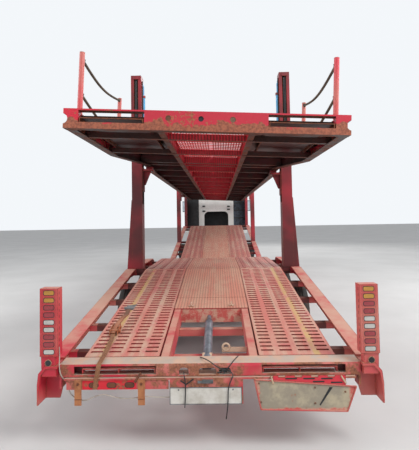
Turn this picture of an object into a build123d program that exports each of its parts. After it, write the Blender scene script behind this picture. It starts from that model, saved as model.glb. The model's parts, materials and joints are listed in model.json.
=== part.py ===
from build123d import *

import math
import os

# Articulated car transporter: a two-deck semi-trailer for cars, hinged at its
# kingpin to a two-axle tractor with a tilting cab.
#
# Every piece is drawn in the trailer's own stations: X to the right, Y forward
# from the rear face of the lamp columns, Z up from the ground, in millimetres.
# The origin moves to the middle of the length when the pieces are written.

# Driving sizes of the whole
half_width = 1250.0
fit_gap = 0.3

# Lower deck: height of the walking surface along the trailer
lip_station = 50.0
lip_height = 643.0
hump_start = 2900.0
hump_end = 4600.0
hump_height = 1010.0
well_start = 5500.0
well_end = 7850.0
well_height = 560.0
platform_start = 12850.0
platform_height = 1479.0
deck_front = 13350.0
# columns: station, height
deck_line = [
    (lip_station, lip_height),
    (hump_start, hump_height),
    (hump_end, hump_height),
    (well_start, well_height),
    (well_end, well_height),
    (platform_start, platform_height),
    (deck_front, platform_height),
]

# Outer rails: a channel open to the inside, deeper along the well
beam_rear = 40.0
beam_front = 150.0
rail_inner = 1120.0
rail_plate = 10.0
rail_lip = 70.0
rail_depth = 115.0
well_rail_depth = 230.0
deep_rail_start = hump_end + 300.0
deep_rail_end = 10450.0
# columns: first station, last station, depth
rail_runs = [
    (beam_front, deep_rail_start, rail_depth),
    (deep_rail_start, deep_rail_end, well_rail_depth),
    (deep_rail_end, deck_front, rail_depth),
]

# Inner longerons below the edges of the centre strip
longeron_inner = 310.0
longeron_outer = 375.0
longeron_top = 8.4
longeron_depth = 160.0
neck_depth = 100.0
neck_start = 9900.0
# columns: first station, last station, depth
longeron_runs = [
    (beam_front, neck_start, longeron_depth),
    (neck_start, deck_front, neck_depth),
]
spring_beam_centre = 640.0
spring_beam_half = 40.0
spring_beam_depth = 170.0

# Wheel tracks and centre plates
track_inner = 385.0
track_outer = 965.0
track_plate = 8.0
track_skirt = 8.0
rear_track_depth = 75.0
track_depth = 45.7
rear_track_start = beam_front + 5.0
panel_gap = 4.0
centre_half = 380.0
centre_start = 1230.0
centre_seam = 1580.0
neck_seam = 10380.0
# columns: first station, last station of each run of plates forward of the slope
deck_runs = [
    (hump_start, hump_end),
    (hump_end, well_start),
    (well_start, well_end),
    (well_end, neck_seam),
    (neck_seam, platform_start),
    (platform_start, deck_front),
]

# Slots across the rear tracks, and ribs along the tracks forward of them
slot_pitch = 74.0
slot_margin = 60.0
slot_width = 26.0
slot_length = 96.0
slot_columns = 4
rib_columns = 4
rib_width = 34.0
rib_height = 5.0
rib_inset = 30.0

# Cross members below the tracks
member_width = 60.0
rear_seat = 76.0
front_seat = 46.0
member_depth = 56.0
bay_member_top = 128.0
bay_member_bottom = 190.0
landing_station = 9620.0
rear_stations = (420.0, 1000.0, 1750.0, 2400.0)
front_stations = (hump_start + 120, hump_start + 800, hump_end - 150, hump_end + 450, well_start + 150,
                  well_start + 900, well_start + 1600, well_end - 150, well_end + 650, well_end + 1250,
                  landing_station, neck_start + 100, neck_start + 650, platform_start - 350, deck_front - 100)

# Rear beam with the slots of the stowed ramps
beam_bottom = 545.0
beam_top = 643.0
beam_round = 26.0
beam_half = 1108.0
ramp_inner = 400.0
ramp_outer = 950.0
ramp_top = 40.0
ramp_thick = 35.5
ramp_length = 1700.0
ramp_start = 46.0
slot_clear = 6.0
sill_bottom = 527.0
sill_top = 541.0
sill_half = 1075.0
beam_wall = 10.0
cheek_bottom = 460.0
sheet_lap = 3.0
# columns: left edge, right edge, top of each cable hole with a round top
cable_holes = [
    (-222.0, -150.0, 606.0),
    (-75.0, 55.0, 602.0),
    (75.0, 165.0, 604.0),
]
# columns: left edge, right edge, top, bottom, distance of its face behind the beam's rear face
lower_bars = [
    (-1061.0, -300.0, sill_bottom + sheet_lap, 458.0, 5.0),
    (-998.0, -948.0, sill_bottom + sheet_lap, 345.0, 13.0),
    (-526.0, -476.0, sill_bottom + sheet_lap, 345.0, 13.0),
]
lower_bar_thick = 10.0
panel_sheet = 8.0
sill_reach = 22.0
end_plate = 12.0

# Rear lamps
lamp_inner = 1115.0
lamp_outer = 1250.0
lamp_depth = 90.0
lamp_bottom = 710.0
lamp_height = 500.0
lamp_shell = 6.0
lamp_rows = 9
lens_width = 100.0
lens_height = 42.0
lens_thick = 12.0

# Plate panel, number plate and tail flap
panel_left = -290.0
panel_right = 250.0
panel_bottom = 350.0
plate_centre = -25.0
plate_width = 520.0
plate_height = 112.0
plate_bottom = 355.0
plate_thick = 4.0

lift_barrel = 26.0
lift_piston = 14.0

# Posts that carry the upper deck
post_station = hump_start + 150.0
pivot_station = 10350.0
middle_inner = 1119.0
middle_outer = half_width - rail_plate - 1.0
middle_half_depth = 75.0
rear_post_inner = 1015.0
rear_post_outer = 1165.0
rear_post_depth = 180.0
rear_post_top = 3850.0
middle_post_top = 3150.0
front_post_top = 2900.0
chain_slot_low = 2910.0
front_post_station = deck_front - 90.0
post_wall = 10.0
brace_height = 1000.0
shoe_gap = 0.5
bearer_gap = 0.5
shoe_plate = 12.0

# Upper deck, drawn level and then rolled about the trailer's length
roll_degrees = 2.75
roll_height = 2550.0
upper_bottom = 2465.0
upper_top = 2590.0
upper_rear = 470.0
upper_front = 13300.0
upper_plate = 8.0
upper_flange = 90.0
upper_beam_top = 2640.0
upper_beam_depth = 90.0
upper_half = 1245.0
upper_neck_half = 985.0
upper_front_half = 1040.0
# columns: station, half width of the upper deck
upper_outline = [
    (upper_rear + upper_beam_depth, upper_half),
    (post_station - 950.0, upper_half),
    (post_station - 200.0, upper_neck_half),
    (post_station + 250.0, upper_neck_half),
    (post_station + 850.0, upper_front_half),
    (upper_front, upper_front_half),
]
upper_slot_inner = 540.0
upper_slot_outer = 1120.0
upper_slot_bottom = 2522.0
upper_slot_top = 2626.0
upper_holes = (-329.0, -45.0, 232.0)
upper_hole_radius = 24.0
upper_hole_depth = 14.0
upper_low_stations = (900.0, 1800.0)
upper_low_top = 2526.0
upper_ramp_end = 2000.0
upper_first_member = post_station - 290.0
upper_member_pitch = 940.0
upper_member_count = 12
upper_member_room = 200.0
stanchion_stations = (600.0, 2050.0)
stanchion_x = 1150.0
stanchion_height = 590.0
stanchion_radius = 24.0
pivot_height = 2490.0
pivot_radius = 25.0
boss_radius = 45.0
pivot_fit = 0.05

# Trailer wheels
axle_spread = 1300.0
first_axle = hump_start - 150.0
trailer_axles = (first_axle, first_axle + axle_spread)
spring_half = 480.0
trailer_tyre_radius = 420.0
trailer_tyre_width = 275.0
trailer_rim_radius = 248.0
trailer_wheel_x = 1118.0

# Tractor: its stations follow from the kingpin and the front of the trailer
kingpin_station = 11700.0
coupling_height = 1050.0
coupling_plate = 12.0
coupling_half = 480.0
coupling_rear = kingpin_station - 550.0
coupling_front = kingpin_station + 650.0
neck_rib_places = (-460.0, -340.0, 328.0, 448.0)
kingpin_radius = 25.4
drive_axle = kingpin_station - 550.0
cab_gap = 550.0
cab_length = 2200.0
cab_rear = deck_front + cab_gap
cab_front = cab_rear + cab_length
steer_setback = 1250.0
steer_axle = cab_front - steer_setback
overall_length = cab_front + 150.0
tractor_tyre_radius = 448.0
tractor_tyre_width = 290.0
tractor_rim_radius = 286.0
steer_wheel_x = 1045.0
twin_outer_x = 1090.0
twin_inner_x = 775.0
knuckle_x = 930.0
wheel_play = 0.05
kingpin_bolt = 22.0

# Wheel shapes: flat-sided rings with a corner at the ground
wheel_sides = 40
hub_sides = 16
shoulder_drop = 40.0
shoulder_run = 32.0
rim_inset = 24.0
rim_wall = 26.0
disc_wall = 14.0
disc_setback = 80.0
hand_holes = 8
hand_hole_radius = 30.0
hub_radius = 96.0
spindle_radius = 29.95
hub_bore = spindle_radius + wheel_play

frame_rear = drive_axle - 700.0
frame_front = steer_axle + 1050.0
frame_inner = 350.0
frame_outer = 430.0
frame_bottom = 600.0
frame_top = 850.0
frame_wall = 10.0
spring_x = 390.0
spring_width = 72.0

# Widest bend of a folded mudguard, in degrees
guard_step = 12.0

# Tanks and boxes on the frame rails
tank_rear = kingpin_station + 650.0
tank_length = 1350.0
tank_width = 560.0
tank_height = 540.0
tank_middle = 690.0
tank_setoff = 60.0
box_length = 700.0
bottle_radius = 180.0

# Cab
cab_half = 1235.0
cab_bottom = 1150.0
cab_floor = 1350.0
cab_waist = 2000.0
cab_roof = 3250.0
cab_wall = 45.0
cab_corner = 200.0
roof_lean = 50.0
roof_edge = 100.0
roof_rear_slope = 120.0
screen_setback = 330.0
screen_top = cab_roof - 170.0
brow_length = 290.0
tunnel_half = 485.0
tunnel_top = 2040.0
tunnel_corner = 170.0
tunnel_length = 700.0
tunnel_skin = 30.0
low_tunnel_top = cab_floor + 80.0
fairing_length = 380.0
fairing_thick = 14.0
recess_half = 600.0
recess_bottom = 2150.0
recess_top = 2850.0
recess_depth = 8.0
tilt_station = cab_front - 100.0
tilt_height = frame_top
tilt_pin_radius = 25.0
tilt_ear_x = 450.0
tilt_ear_width = 60.0

# Doors and windows
door_front = cab_front - 360.0
door_length = 990.0
door_rear = door_front - door_length
door_bottom = cab_bottom + 80.0
door_top = cab_roof - 400.0
door_slant = 380.0
door_gap = 6.0
window_frame = 90.0
window_bottom = cab_waist - 50.0
glass_inset = 20.0
glass_thick = 6.0
screen_bottom = cab_waist + 60.0
screen_frame = 110.0
hinge_x = cab_half + 14.0
hinge_barrel = 13.0
hinge_pin = 6.0
hinge_half = 45.0
hinge_leaf = 50.0
hinge_heights = (cab_floor + 70.0, cab_waist - 100.0)

# Front panel, bumper and lamps
panel_thick = 50.0
panel_low = tilt_height + 10.0
panel_high = cab_waist - 20.0
grille_half = 800.0
grille_low = panel_low + 60.0
grille_rows = 6
grille_pitch = 130.0
grille_slot = 70.0
bumper_rear = steer_axle + 550.0
bumper_wall = 20.0
bumper_low = 330.0
bumper_side_top = 670.0
bumper_top = 745.0
bumper_corner = 180.0
intake_half = 560.0
lamp_x0 = 780.0
lamp_x1 = 1130.0
lamp_z0 = 470.0
lamp_z1 = 620.0

# Cab furniture
seat_x = 760.0
seat_rear = cab_rear + 740.0
seat_width = 500.0
seat_length = 500.0
seat_height = 1690.0
seat_cushion = 140.0
seat_back = 740.0
dash_front = cab_front - 70.0
dash_depth = 480.0
dash_low = 1500.0
dash_high = 1960.0
steering_radius = 215.0
steering_rim = 26.0


# Small helpers that draw prisms from outlines

def block(x0, x1, y0, y1, z0, z1):
    """A box between two corners."""
    size = Box(x1 - x0, y1 - y0, z1 - z0, align=(Align.MIN, Align.MIN, Align.MIN))
    return Pos(x0, y0, z0) * size


def prism_x(points, x0, x1):
    """An outline of (station, height) points, as thick as x0 to x1."""
    face = Plane.YZ * Polygon(*points, align=None)
    return Pos(x0, 0, 0) * extrude(face, amount=x1 - x0, dir=(1, 0, 0))


def prism_y(points, y0, y1):
    """An outline of (x, height) points, from station y0 to y1."""
    face = Plane.XZ * Polygon(*points, align=None)
    return Pos(0, y0, 0) * extrude(face, amount=y1 - y0, dir=(0, 1, 0))


def prism_z(points, z0, z1):
    """An outline of (x, station) points, from height z0 to z1."""
    face = Plane.XY * Polygon(*points, align=None)
    return Pos(0, 0, z0) * extrude(face, amount=z1 - z0, dir=(0, 0, 1))


def rod(start, end, radius):
    """A round bar between two points."""
    a = Vector(*start)
    b = Vector(*end)
    plane = Plane(origin=a, z_dir=(b - a).normalized())
    return extrude(plane * Circle(radius), amount=(b - a).length)


def tube(start, end, radius, bore):
    """A round tube between two points."""
    a = Vector(*start)
    b = Vector(*end)
    plane = Plane(origin=a, z_dir=(b - a).normalized())
    return extrude(plane * (Circle(radius) - Circle(bore)), amount=(b - a).length)


def mirrored(shape):
    """The same piece on the other side of the centre line."""
    return mirror(shape, about=Plane.YZ)


def pair(shape):
    """A piece and its twin on the other side."""
    return [shape, mirrored(shape)]


def fused(shapes):
    """One solid from pieces that touch or cross."""
    first = shapes[0]
    return first.fuse(*shapes[1:])


def line_height(line, station):
    """Height of a polyline of (station, height) points at a station."""
    for (s0, z0), (s1, z1) in zip(line, line[1:]):
        if s0 <= station <= s1:
            return z0 + (z1 - z0) * (station - s0) / (s1 - s0)
    return line[0][1] if station < line[0][0] else line[-1][1]


def deck_height(station):
    return line_height(deck_line, station)


def stations_between(line, first, last):
    """The two ends and every bend of a line between them."""
    inside = [bend[0] for bend in line if first < bend[0] < last]
    return [first] + inside + [last]


def along_deck(x0, x1, first, last, top, bottom):
    """A strip that follows the lower deck, between two depths below its surface."""
    stops = stations_between(deck_line, first, last)
    upper = [(s, deck_height(s) - top) for s in stops]
    lower = [(s, deck_height(s) - bottom) for s in reversed(stops)]
    return prism_x(upper + lower, x0, x1)


nodes = {}


def node(name, shapes):
    """Keep the solids of one named piece."""
    solids = []
    for shape in shapes:
        solids.extend(shape.solids())
    nodes[name] = solids


# Lower deck frame

def trailer_frame():
    parts = []
    for first, last, depth in rail_runs:
        rail = [
            along_deck(rail_inner, half_width, first, last, 0, rail_plate),
            along_deck(half_width - rail_plate, half_width, first, last, rail_plate / 2, depth),
            along_deck(half_width - rail_lip, half_width, first, last, depth - rail_plate, depth),
        ]
        parts += rail
    for first, last, depth in longeron_runs:
        parts.append(along_deck(longeron_inner, longeron_outer, first, last, longeron_top, depth))
    parts.append(along_deck(spring_beam_centre - spring_beam_half, spring_beam_centre + spring_beam_half,
                            first_axle - spring_half - 200, first_axle + axle_spread + spring_half + 30,
                            rear_seat + 10, spring_beam_depth))
    for station in (post_station, front_post_station):
        parts.append(along_deck(1000, half_width - 2, station - 75, station + 75, 0, front_seat + 10))
    right = fused(parts)
    half = middle_half_depth + fit_gap
    socket = block(middle_inner - fit_gap, middle_outer + fit_gap, pivot_station - half, pivot_station + half,
                   middle_post_foot() - fit_gap, middle_post_top)
    right = right - socket
    members = []
    reach = half_width - rail_plate / 2
    for station in rear_stations:
        ends = (station, station + member_width)
        if station < centre_start:
            side = along_deck(longeron_inner, reach, *ends, rear_seat, rear_seat + member_depth)
            members += pair(side)
            members.append(along_deck(-reach / 3, reach / 3, *ends, bay_member_top, bay_member_bottom))
        else:
            members.append(along_deck(-reach, reach, *ends, rear_seat, rear_seat + member_depth))
    for station in front_stations:
        ends = (station, station + member_width)
        members.append(along_deck(-reach, reach, *ends, front_seat, front_seat + member_depth))
    return fused([right, mirrored(right)] + members)


def rear_tracks():
    """Slotted wheel tracks that climb from the rear beam."""
    first = rear_track_start
    last = hump_start - panel_gap
    rise = deck_height(last) - deck_height(first)
    slope = math.atan2(rise, last - first)
    length = (last - first) / math.cos(slope)
    width = track_outer - track_inner
    plate = block(0, width, 0, length, -track_plate, 0)
    skirt = block(0, track_skirt, 0, length, -rear_track_depth, 0)
    other = block(width - track_skirt, width, 0, length, -rear_track_depth, 0)
    track = fused([plate, skirt, other]) - slot_cutters(width, length)
    placed = Pos(track_inner, first, deck_height(first)) * Rot(math.degrees(slope), 0, 0) * track
    return pair(placed)


def slot_cutters(width, length):
    """Cutters for the rows of slots, in the flat track's own frame."""
    rows = int((length - 2 * slot_margin) / slot_pitch)
    start = (length - rows * slot_pitch) / 2
    step = width / slot_columns
    cutters = []
    for row in range(rows + 1):
        y = start + row * slot_pitch
        for column in range(slot_columns):
            x = step * (column + 0.5)
            cutters.append(block(x - slot_length / 2, x + slot_length / 2, y - slot_width / 2,
                                 y + slot_width / 2, -track_plate - 1, 1))
    return cutters


def channel_panel(x0, x1, first, last, depth):
    """A track plate with its edges turned down and raised ribs along it."""
    top = along_deck(x0, x1, first, last, 0, track_plate)
    left = along_deck(x0, x0 + track_skirt, first, last, 0, depth)
    right = along_deck(x1 - track_skirt, x1, first, last, 0, depth)
    ribs = []
    step = (x1 - x0) / rib_columns
    for column in range(rib_columns):
        x = x0 + step * (column + 0.5)
        ribs.append(along_deck(x - rib_width / 2, x + rib_width / 2, first + rib_inset, last - rib_inset,
                               -rib_height, 1))
    return fused([top, left, right] + ribs)


def deck_plates():
    """Track plates and centre plates forward of the rear slope."""
    plates = []
    for first, last in deck_runs:
        start = first + panel_gap / 2
        end = last - panel_gap / 2
        plates += pair(channel_panel(track_inner, track_outer, start, end, track_depth))
        plates.append(along_deck(-centre_half, centre_half, start, end, 0, track_plate))
    for first, last in ((centre_start, centre_seam), (centre_seam, hump_start)):
        start = first + panel_gap / 2
        end = last - panel_gap / 2
        plates.append(along_deck(-centre_half, centre_half, start, end, 0, track_plate))
    return plates


def rear_beam():
    front_top = deck_height(beam_front)
    outline = [
        (beam_rear, beam_bottom),
        (beam_rear, beam_top - beam_round),
        (beam_rear + beam_round * 0.3, beam_top - beam_round * 0.3),
        (beam_rear + beam_round, beam_top),
        (beam_front - fit_gap, front_top - 1),
        (beam_front - fit_gap, beam_bottom),
    ]
    body = prism_x(outline, -beam_half, beam_half)
    hollow = block(-beam_half + beam_wall, beam_half - beam_wall, beam_rear + beam_wall, beam_front + 1,
                   beam_bottom + beam_wall, beam_top - beam_wall)
    slot_low = deck_height(beam_rear) - ramp_top - ramp_thick - slot_clear
    slot_high = deck_height(beam_front) - ramp_top + slot_clear
    slot = block(ramp_inner - 5, ramp_outer + 60, beam_rear - 1, beam_front + 1, slot_low, slot_high)
    body = body - ([hollow] + pair(slot) + cable_cutters())
    sill = block(-sill_half, sill_half, beam_rear - sill_reach, beam_rear + 60, sill_bottom, sill_top)
    web_rear = beam_rear + 20
    web = block(-sill_half, sill_half, web_rear, web_rear + beam_wall, sill_top - 5, beam_bottom + 5)
    bars = []
    for x0, x1, top, bottom, back in lower_bars:
        face = beam_rear - back
        bars.append(block(x0, x1, face - lower_bar_thick, face, bottom, top))
    panel = block(panel_left, panel_right, beam_rear - sill_reach, beam_rear - sill_reach + panel_sheet,
                  panel_bottom, sill_bottom + sheet_lap)
    ends = pair(block(beam_half - sheet_lap, beam_half + end_plate, beam_rear + 5, beam_front - 5,
                      cheek_bottom, beam_top - 5))
    return [fused([body, sill, web, panel] + bars + ends)]


def cable_cutters():
    """Cutters for the round-topped holes through the beam's rear face."""
    cutters = []
    for x0, x1, top in cable_holes:
        low = beam_bottom + beam_wall
        outline = Pos((x0 + x1) / 2, (low + top) / 2) * Rectangle(x1 - x0, top - low)
        corners = outline.vertices().group_by(Axis.Y)[-1]
        radius = min(x1 - x0, top - low) / 2 - 1
        face = fillet(corners, radius)
        cutter = extrude(Plane.XZ * face, amount=beam_wall + 2, dir=(0, 1, 0))
        cutters.append(Pos(0, beam_rear - 1, 0) * cutter)
    return cutters


def number_plate():
    x0 = plate_centre - plate_width / 2
    rear = beam_rear - sill_reach - fit_gap
    return [block(x0, x0 + plate_width, rear - plate_thick, rear, plate_bottom, plate_bottom + plate_height)]


def tail_flap():
    """Sheet that hangs from the sill, cut away at its outer end."""
    outline = [(330, sill_bottom - fit_gap), (1080, 470), (1010, 288), (376, 305)]
    return [prism_y(outline, beam_rear - 20, beam_rear - 14)]


def lamp_columns():
    """Two upright lamp housings on the wing brackets at the rear corners."""
    top = lamp_bottom + lamp_height
    shell = block(lamp_inner, lamp_outer, 0, lamp_depth, lamp_bottom, top)
    hollow = block(lamp_inner + lamp_shell, lamp_outer - lamp_shell, -1, lamp_depth - lamp_shell,
                   lamp_bottom + lamp_shell, top - lamp_shell)
    housing = shell - hollow
    face = block(lamp_inner, lamp_outer, 0, lamp_shell, lamp_bottom, top)
    windows = [window_box(row, lens_width, lens_height, -1, lamp_shell + 1) for row in range(lamp_rows)]
    face = face - windows
    neck = prism_y([(1130, 560), (1240, 560), (1245, lamp_bottom + 2), (1140, lamp_bottom + 2)], 10, 80)
    wing_outline = [(1122, 640), (1215, 640), (1262, 585), (1272, 500), (1272, 355),
                    (1262, 355), (1258, 500), (1245, 570), (1205, 620), (1122, 620)]
    wing = prism_y(wing_outline, 0, 150)
    cheek = prism_y([(1122, 640), (1215, 640), (1265, 580), (1272, 355), (1150, 355), (1122, 460)], 140, 150)
    return pair(fused([housing, face, neck, wing, cheek]))


def window_box(row, width, height, y0, y1):
    """One rectangular lamp window, counted from the top."""
    pitch = (lamp_height - 2 * lamp_shell) / lamp_rows
    middle = lamp_bottom + lamp_height - lamp_shell - pitch * (row + 0.5)
    centre = (lamp_inner + lamp_outer) / 2
    return block(centre - width / 2, centre + width / 2, y0, y1, middle - height / 2, middle + height / 2)


def lamp_lenses():
    lenses = []
    for row in range(lamp_rows):
        lens = window_box(row, lens_width - 1, lens_height - 1, 1, 1 + lens_thick)
        lenses += pair(lens)
    return lenses


# Posts

def middle_post_foot():
    """Height of the middle posts' feet, on the lower flange of the rail channel."""
    seat_station = pivot_station + middle_half_depth
    return deck_height(seat_station) - well_rail_depth + rail_plate + fit_gap


def post_tube(inner, outer, station, depth, foot, top):
    """A hollow upright post, centred on its station."""
    y0 = station - depth / 2
    y1 = station + depth / 2
    full = block(inner, outer, y0, y1, foot, top)
    hollow = block(inner + post_wall, outer - post_wall, y0 + post_wall, y1 - post_wall,
                   foot + post_wall, top - post_wall)
    return full - hollow


def rear_posts():
    """Rear posts with a slot for the chain and a tapered brace on the outside."""
    inner = rear_post_inner
    outer = rear_post_outer
    foot = hump_height
    column = post_tube(inner, outer, post_station, rear_post_depth, foot, rear_post_top)
    rear_face = post_station - rear_post_depth / 2
    rear_slot = block(inner + 45, outer - 45, rear_face - 1, rear_face + post_wall + 1, chain_slot_low,
                      rear_post_top - 60)
    column = column - rear_slot
    brace = prism_y([(outer - 1, foot), (half_width - 5, foot), (outer + 12, foot + brace_height),
                     (outer - 1, foot + brace_height)], post_station - 65, post_station + 65)
    return pair(fused([column, brace]))


def forward_posts():
    middle = post_tube(middle_inner, middle_outer, pivot_station, 2 * middle_half_depth, middle_post_foot(),
                       middle_post_top)
    front = post_tube(1130, 1230, front_post_station, 100, platform_height, front_post_top)
    return pair(middle) + pair(front)


def lift_cylinders():
    """Hydraulic lift cylinders upright on the forward faces of the rear posts."""
    inner = rear_post_inner
    top = rear_post_top
    face = post_station + rear_post_depth / 2 + fit_gap
    x = inner + 4
    y = face + lift_barrel + 6
    barrel = rod((x, y, top - 950), (x, y, top - 250), lift_barrel)
    piston = rod((x, y, top - 251), (x, y, top - 100), lift_piston)
    head = block(inner, inner + 50, face, y + 20, top - 110, top - 60)
    seat = block(inner, inner + 50, face, y + 15, top - 960, top - 915)
    return pair(fused([barrel, piston, head, seat]))


def ramp_cylinder():
    """The long hydraulic cylinder that lies in the open rear bay."""
    s0 = beam_front + 20
    s1 = centre_start + 200
    barrel = 38.0
    depth = bay_member_top - 2 * fit_gap - barrel * 1.01
    a = (-20, s0, deck_height(s0) - depth)
    b = (-20, s1 - 350, deck_height(s1 - 350) - depth)
    c = (-20, s1, deck_height(s1) - depth)
    return [fused([rod(a, b, barrel), rod(b, c, 20)])]


# Stowed ramps

def stowed_ramp():
    first = ramp_start
    last = first + ramp_length
    plate = along_deck(ramp_inner, ramp_outer, first, last, ramp_top, ramp_top + 8)
    ribs = []
    for x0 in (ramp_inner, (ramp_inner + ramp_outer) / 2 - 4, ramp_outer - 8):
        ribs.append(along_deck(x0, x0 + 8, first, last, ramp_top + 7, ramp_top + ramp_thick))
    return fused([plate] + ribs)


# Upper deck

def outline_points(inset):
    return [(half - inset, station) for station, half in upper_outline]


def band(inset, width, z0, z1):
    outer_side = outline_points(inset)
    inner_side = [(x - width, y) for x, y in reversed(outer_side)]
    return prism_z(outer_side + inner_side, z0, z1)


def roll(shape):
    """Turn a level piece of the upper deck to the angle at which the deck hangs."""
    return Pos(0, 0, roll_height) * Rot(0, roll_degrees, 0) * Pos(0, 0, -roll_height) * shape


def deck_shift(x):
    """How far the rolled deck lies above its level place at an x."""
    return -x * math.sin(math.radians(roll_degrees))


def pin_boss(side):
    """Boss on the deck's side beam for a tilt pin, hung on a thick plate."""
    x0 = side * 962.0
    x1 = side * 1033.0
    top = upper_top + deck_shift(side * 1000.0) - 10
    boss = rod((x0, pivot_station, pivot_height), (x1, pivot_station, pivot_height), boss_radius)
    plate = block(min(x0, x1), max(x0, x1), pivot_station - 90, pivot_station + 90,
                  min(pivot_height, top - 60), top)
    return [boss, plate]


def upper_frame():
    """Side beams, longerons and cross members, in sections that meet at the waist."""
    web = band(0, 10, upper_bottom, upper_top)
    flange = band(0, upper_flange, upper_bottom, upper_bottom + 10)
    longeron = block(380, 440, upper_rear + 80, upper_front, upper_bottom + 10, upper_top)
    side = fused([web, flange, longeron])
    members = []
    rows = [upper_first_member + upper_member_pitch * k for k in range(upper_member_count)]
    clear = [station for station in rows if abs(station - pivot_station) > upper_member_room]
    for station in [post_station - 10] + clear:
        reach = line_height(upper_outline, station) - 9
        reach = min(reach, line_height(upper_outline, station + 60) - 9)
        members.append(block(-reach, reach, station, station + 60, upper_bottom + 30, upper_top))
    for station in upper_low_stations:
        reach = line_height(upper_outline, station) - 9
        members.append(block(-reach, reach, station, station + 60, upper_bottom + 5, upper_low_top))
    end = block(-1035, 1035, upper_front - 20, upper_front, upper_bottom, upper_top)
    whole = roll(fused([side, mirrored(side), end, upper_beam()] + members))
    whole = fused([whole] + pin_boss(-1) + pin_boss(1))
    bore = rod((-1100, pivot_station, pivot_height), (1100, pivot_station, pivot_height),
               pivot_radius + pivot_fit)
    whole = whole - bore
    cuts = [0.0] + [row[0] for row in upper_outline[1:-1]] + [overall_length]
    reach = half_width + 50
    sections = []
    for first, last in zip(cuts, cuts[1:]):
        sections.append(whole & block(-reach, reach, first, last, 0, 2 * upper_top))
    return sections


def upper_beam():
    """Cross beam at the rear end, with hooked ends and two ramp slots."""
    y0 = upper_rear
    y1 = upper_rear + upper_beam_depth
    full = block(-half_width, half_width, y0, y1, upper_bottom, upper_beam_top)
    slot = block(upper_slot_inner, upper_slot_outer, y0 - 1, y1 + 1, upper_slot_bottom, upper_slot_top)
    notch = rod((half_width + 8, y0 - 1, upper_bottom + 85), (half_width + 8, y1 + 1, upper_bottom + 85), 45)
    middle = (upper_slot_bottom + upper_slot_top) / 2
    holes = []
    for x in upper_holes:
        holes.append(rod((x, y0 - 1, middle), (x, y0 + upper_hole_depth, middle), upper_hole_radius))
    return full - (pair(slot) + pair(notch) + holes)


def upper_tracks():
    """Plates at both sides of the mesh, one for each stretch of the outline."""
    plates = []
    inset = 4.0
    low = upper_top + fit_gap
    for (first, rear_half), (last, front_half) in zip(upper_outline, upper_outline[1:]):
        start = first + panel_gap / 2
        end = last - panel_gap / 2
        outline = [(438, start), (rear_half - inset, start), (front_half - inset, end), (438, end)]
        plates += pair(prism_z(outline, low, low + upper_plate))
    return [roll(plate) for plate in plates]


def upper_mesh():
    return [roll(block(-436, 436, upper_rear + upper_beam_depth + 2, upper_front - 4,
                       upper_top + fit_gap, upper_top + fit_gap + 4))]


def upper_ramps():
    x0 = upper_slot_inner + 8
    x1 = upper_slot_outer - 8
    y0 = upper_rear + 6
    low = upper_low_top + fit_gap
    plate = block(x0, x1, y0, upper_ramp_end, low + 30, low + 38)
    rib = block(x0, x0 + 8, y0, upper_ramp_end, low, low + 31)
    other = block(x1 - 8, x1, y0, upper_ramp_end, low, low + 31)
    return [roll(shape) for shape in pair(fused([plate, rib, other]))]


def stanchions():
    poles = []
    for station in stanchion_stations:
        base = upper_top + fit_gap + upper_plate + fit_gap
        head = (stanchion_x, station, base + stanchion_height)
        pole = rod((stanchion_x, station, base), head, stanchion_radius)
        foot = block(stanchion_x - 40, stanchion_x + 40, station - 38, station + 38, base, base + 10)
        poles += pair(fused([pole, foot]))
    return [roll(pole) for pole in poles]


def rear_carriages():
    """Sliding shelves on the rear posts, with a round bearer below the deck."""
    station = post_station
    inner = rear_post_inner
    shapes = []
    for side in (-1, 1):
        bearer_z = upper_bottom - 35 - bearer_gap
        bearer = roll(rod((side * 870, station, bearer_z), (side * 960, station, bearer_z), 35))
        drop = -side * 930 * math.sin(math.radians(-roll_degrees))
        shelf_top = upper_bottom - 45 - drop
        shelf = block(870, inner - shoe_gap, station - 70, station + 70, shelf_top - 30, shelf_top)
        shoe = block(inner - shoe_gap - shoe_plate, inner - shoe_gap, station - 80, station + 80,
                     shelf_top - 330, shelf_top + 20)
        gusset = prism_y([(890, shelf_top - 29), (inner - 5, shelf_top - 29), (inner - 5, shelf_top - 240),
                          (inner - 40, shelf_top - 230), (930, shelf_top - 120)], station - 8, station + 8)
        arm = fused([shelf, shoe, gusset])
        if side < 0:
            arm = mirrored(arm)
        shapes.append(fused([arm, bearer]))
    return shapes


def middle_carriages():
    """Sliding shoes on the middle posts, with the pins that the deck tilts on."""
    face = middle_inner - shoe_gap
    centre = (pivot_station, pivot_height)
    shoe = block(face - 30, face, pivot_station - 70, pivot_station + 70, pivot_height - 160,
                 pivot_height + 120)
    collar = rod((1046, *centre), (face - 15, *centre), boss_radius)
    pin = rod((962, *centre), (face - 5, *centre), pivot_radius)
    return pair(fused([shoe, collar, pin]))


# Wheels

def wheel_prism(radius, x0, x1, sides=wheel_sides):
    """A flat-sided prism about the axle line, with one corner straight down."""
    face = Plane.YZ * RegularPolygon(radius, sides)
    return Pos(x0, 0, 0) * extrude(face, amount=x1 - x0, dir=(1, 0, 0))


def wheel_loft(sections, sides=wheel_sides):
    """Flat-sided rings of (x, radius) joined by straight walls."""
    rings = [Pos(x, 0, 0) * (Plane.YZ * RegularPolygon(radius, sides)) for x, radius in sections]
    return loft(rings, ruled=True)


def tyre(centre_x, station, radius, width, bead):
    """Tyre with a flat tread, sloped shoulders and straight walls."""
    half = width / 2
    low = radius - shoulder_drop
    tread = half - shoulder_run
    body = wheel_loft([(-half, low), (-tread, radius), (tread, radius), (half, low)])
    ring = body - wheel_prism(bead, -half - 1, half + 1)
    return Pos(centre_x, station, radius) * ring


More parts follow.
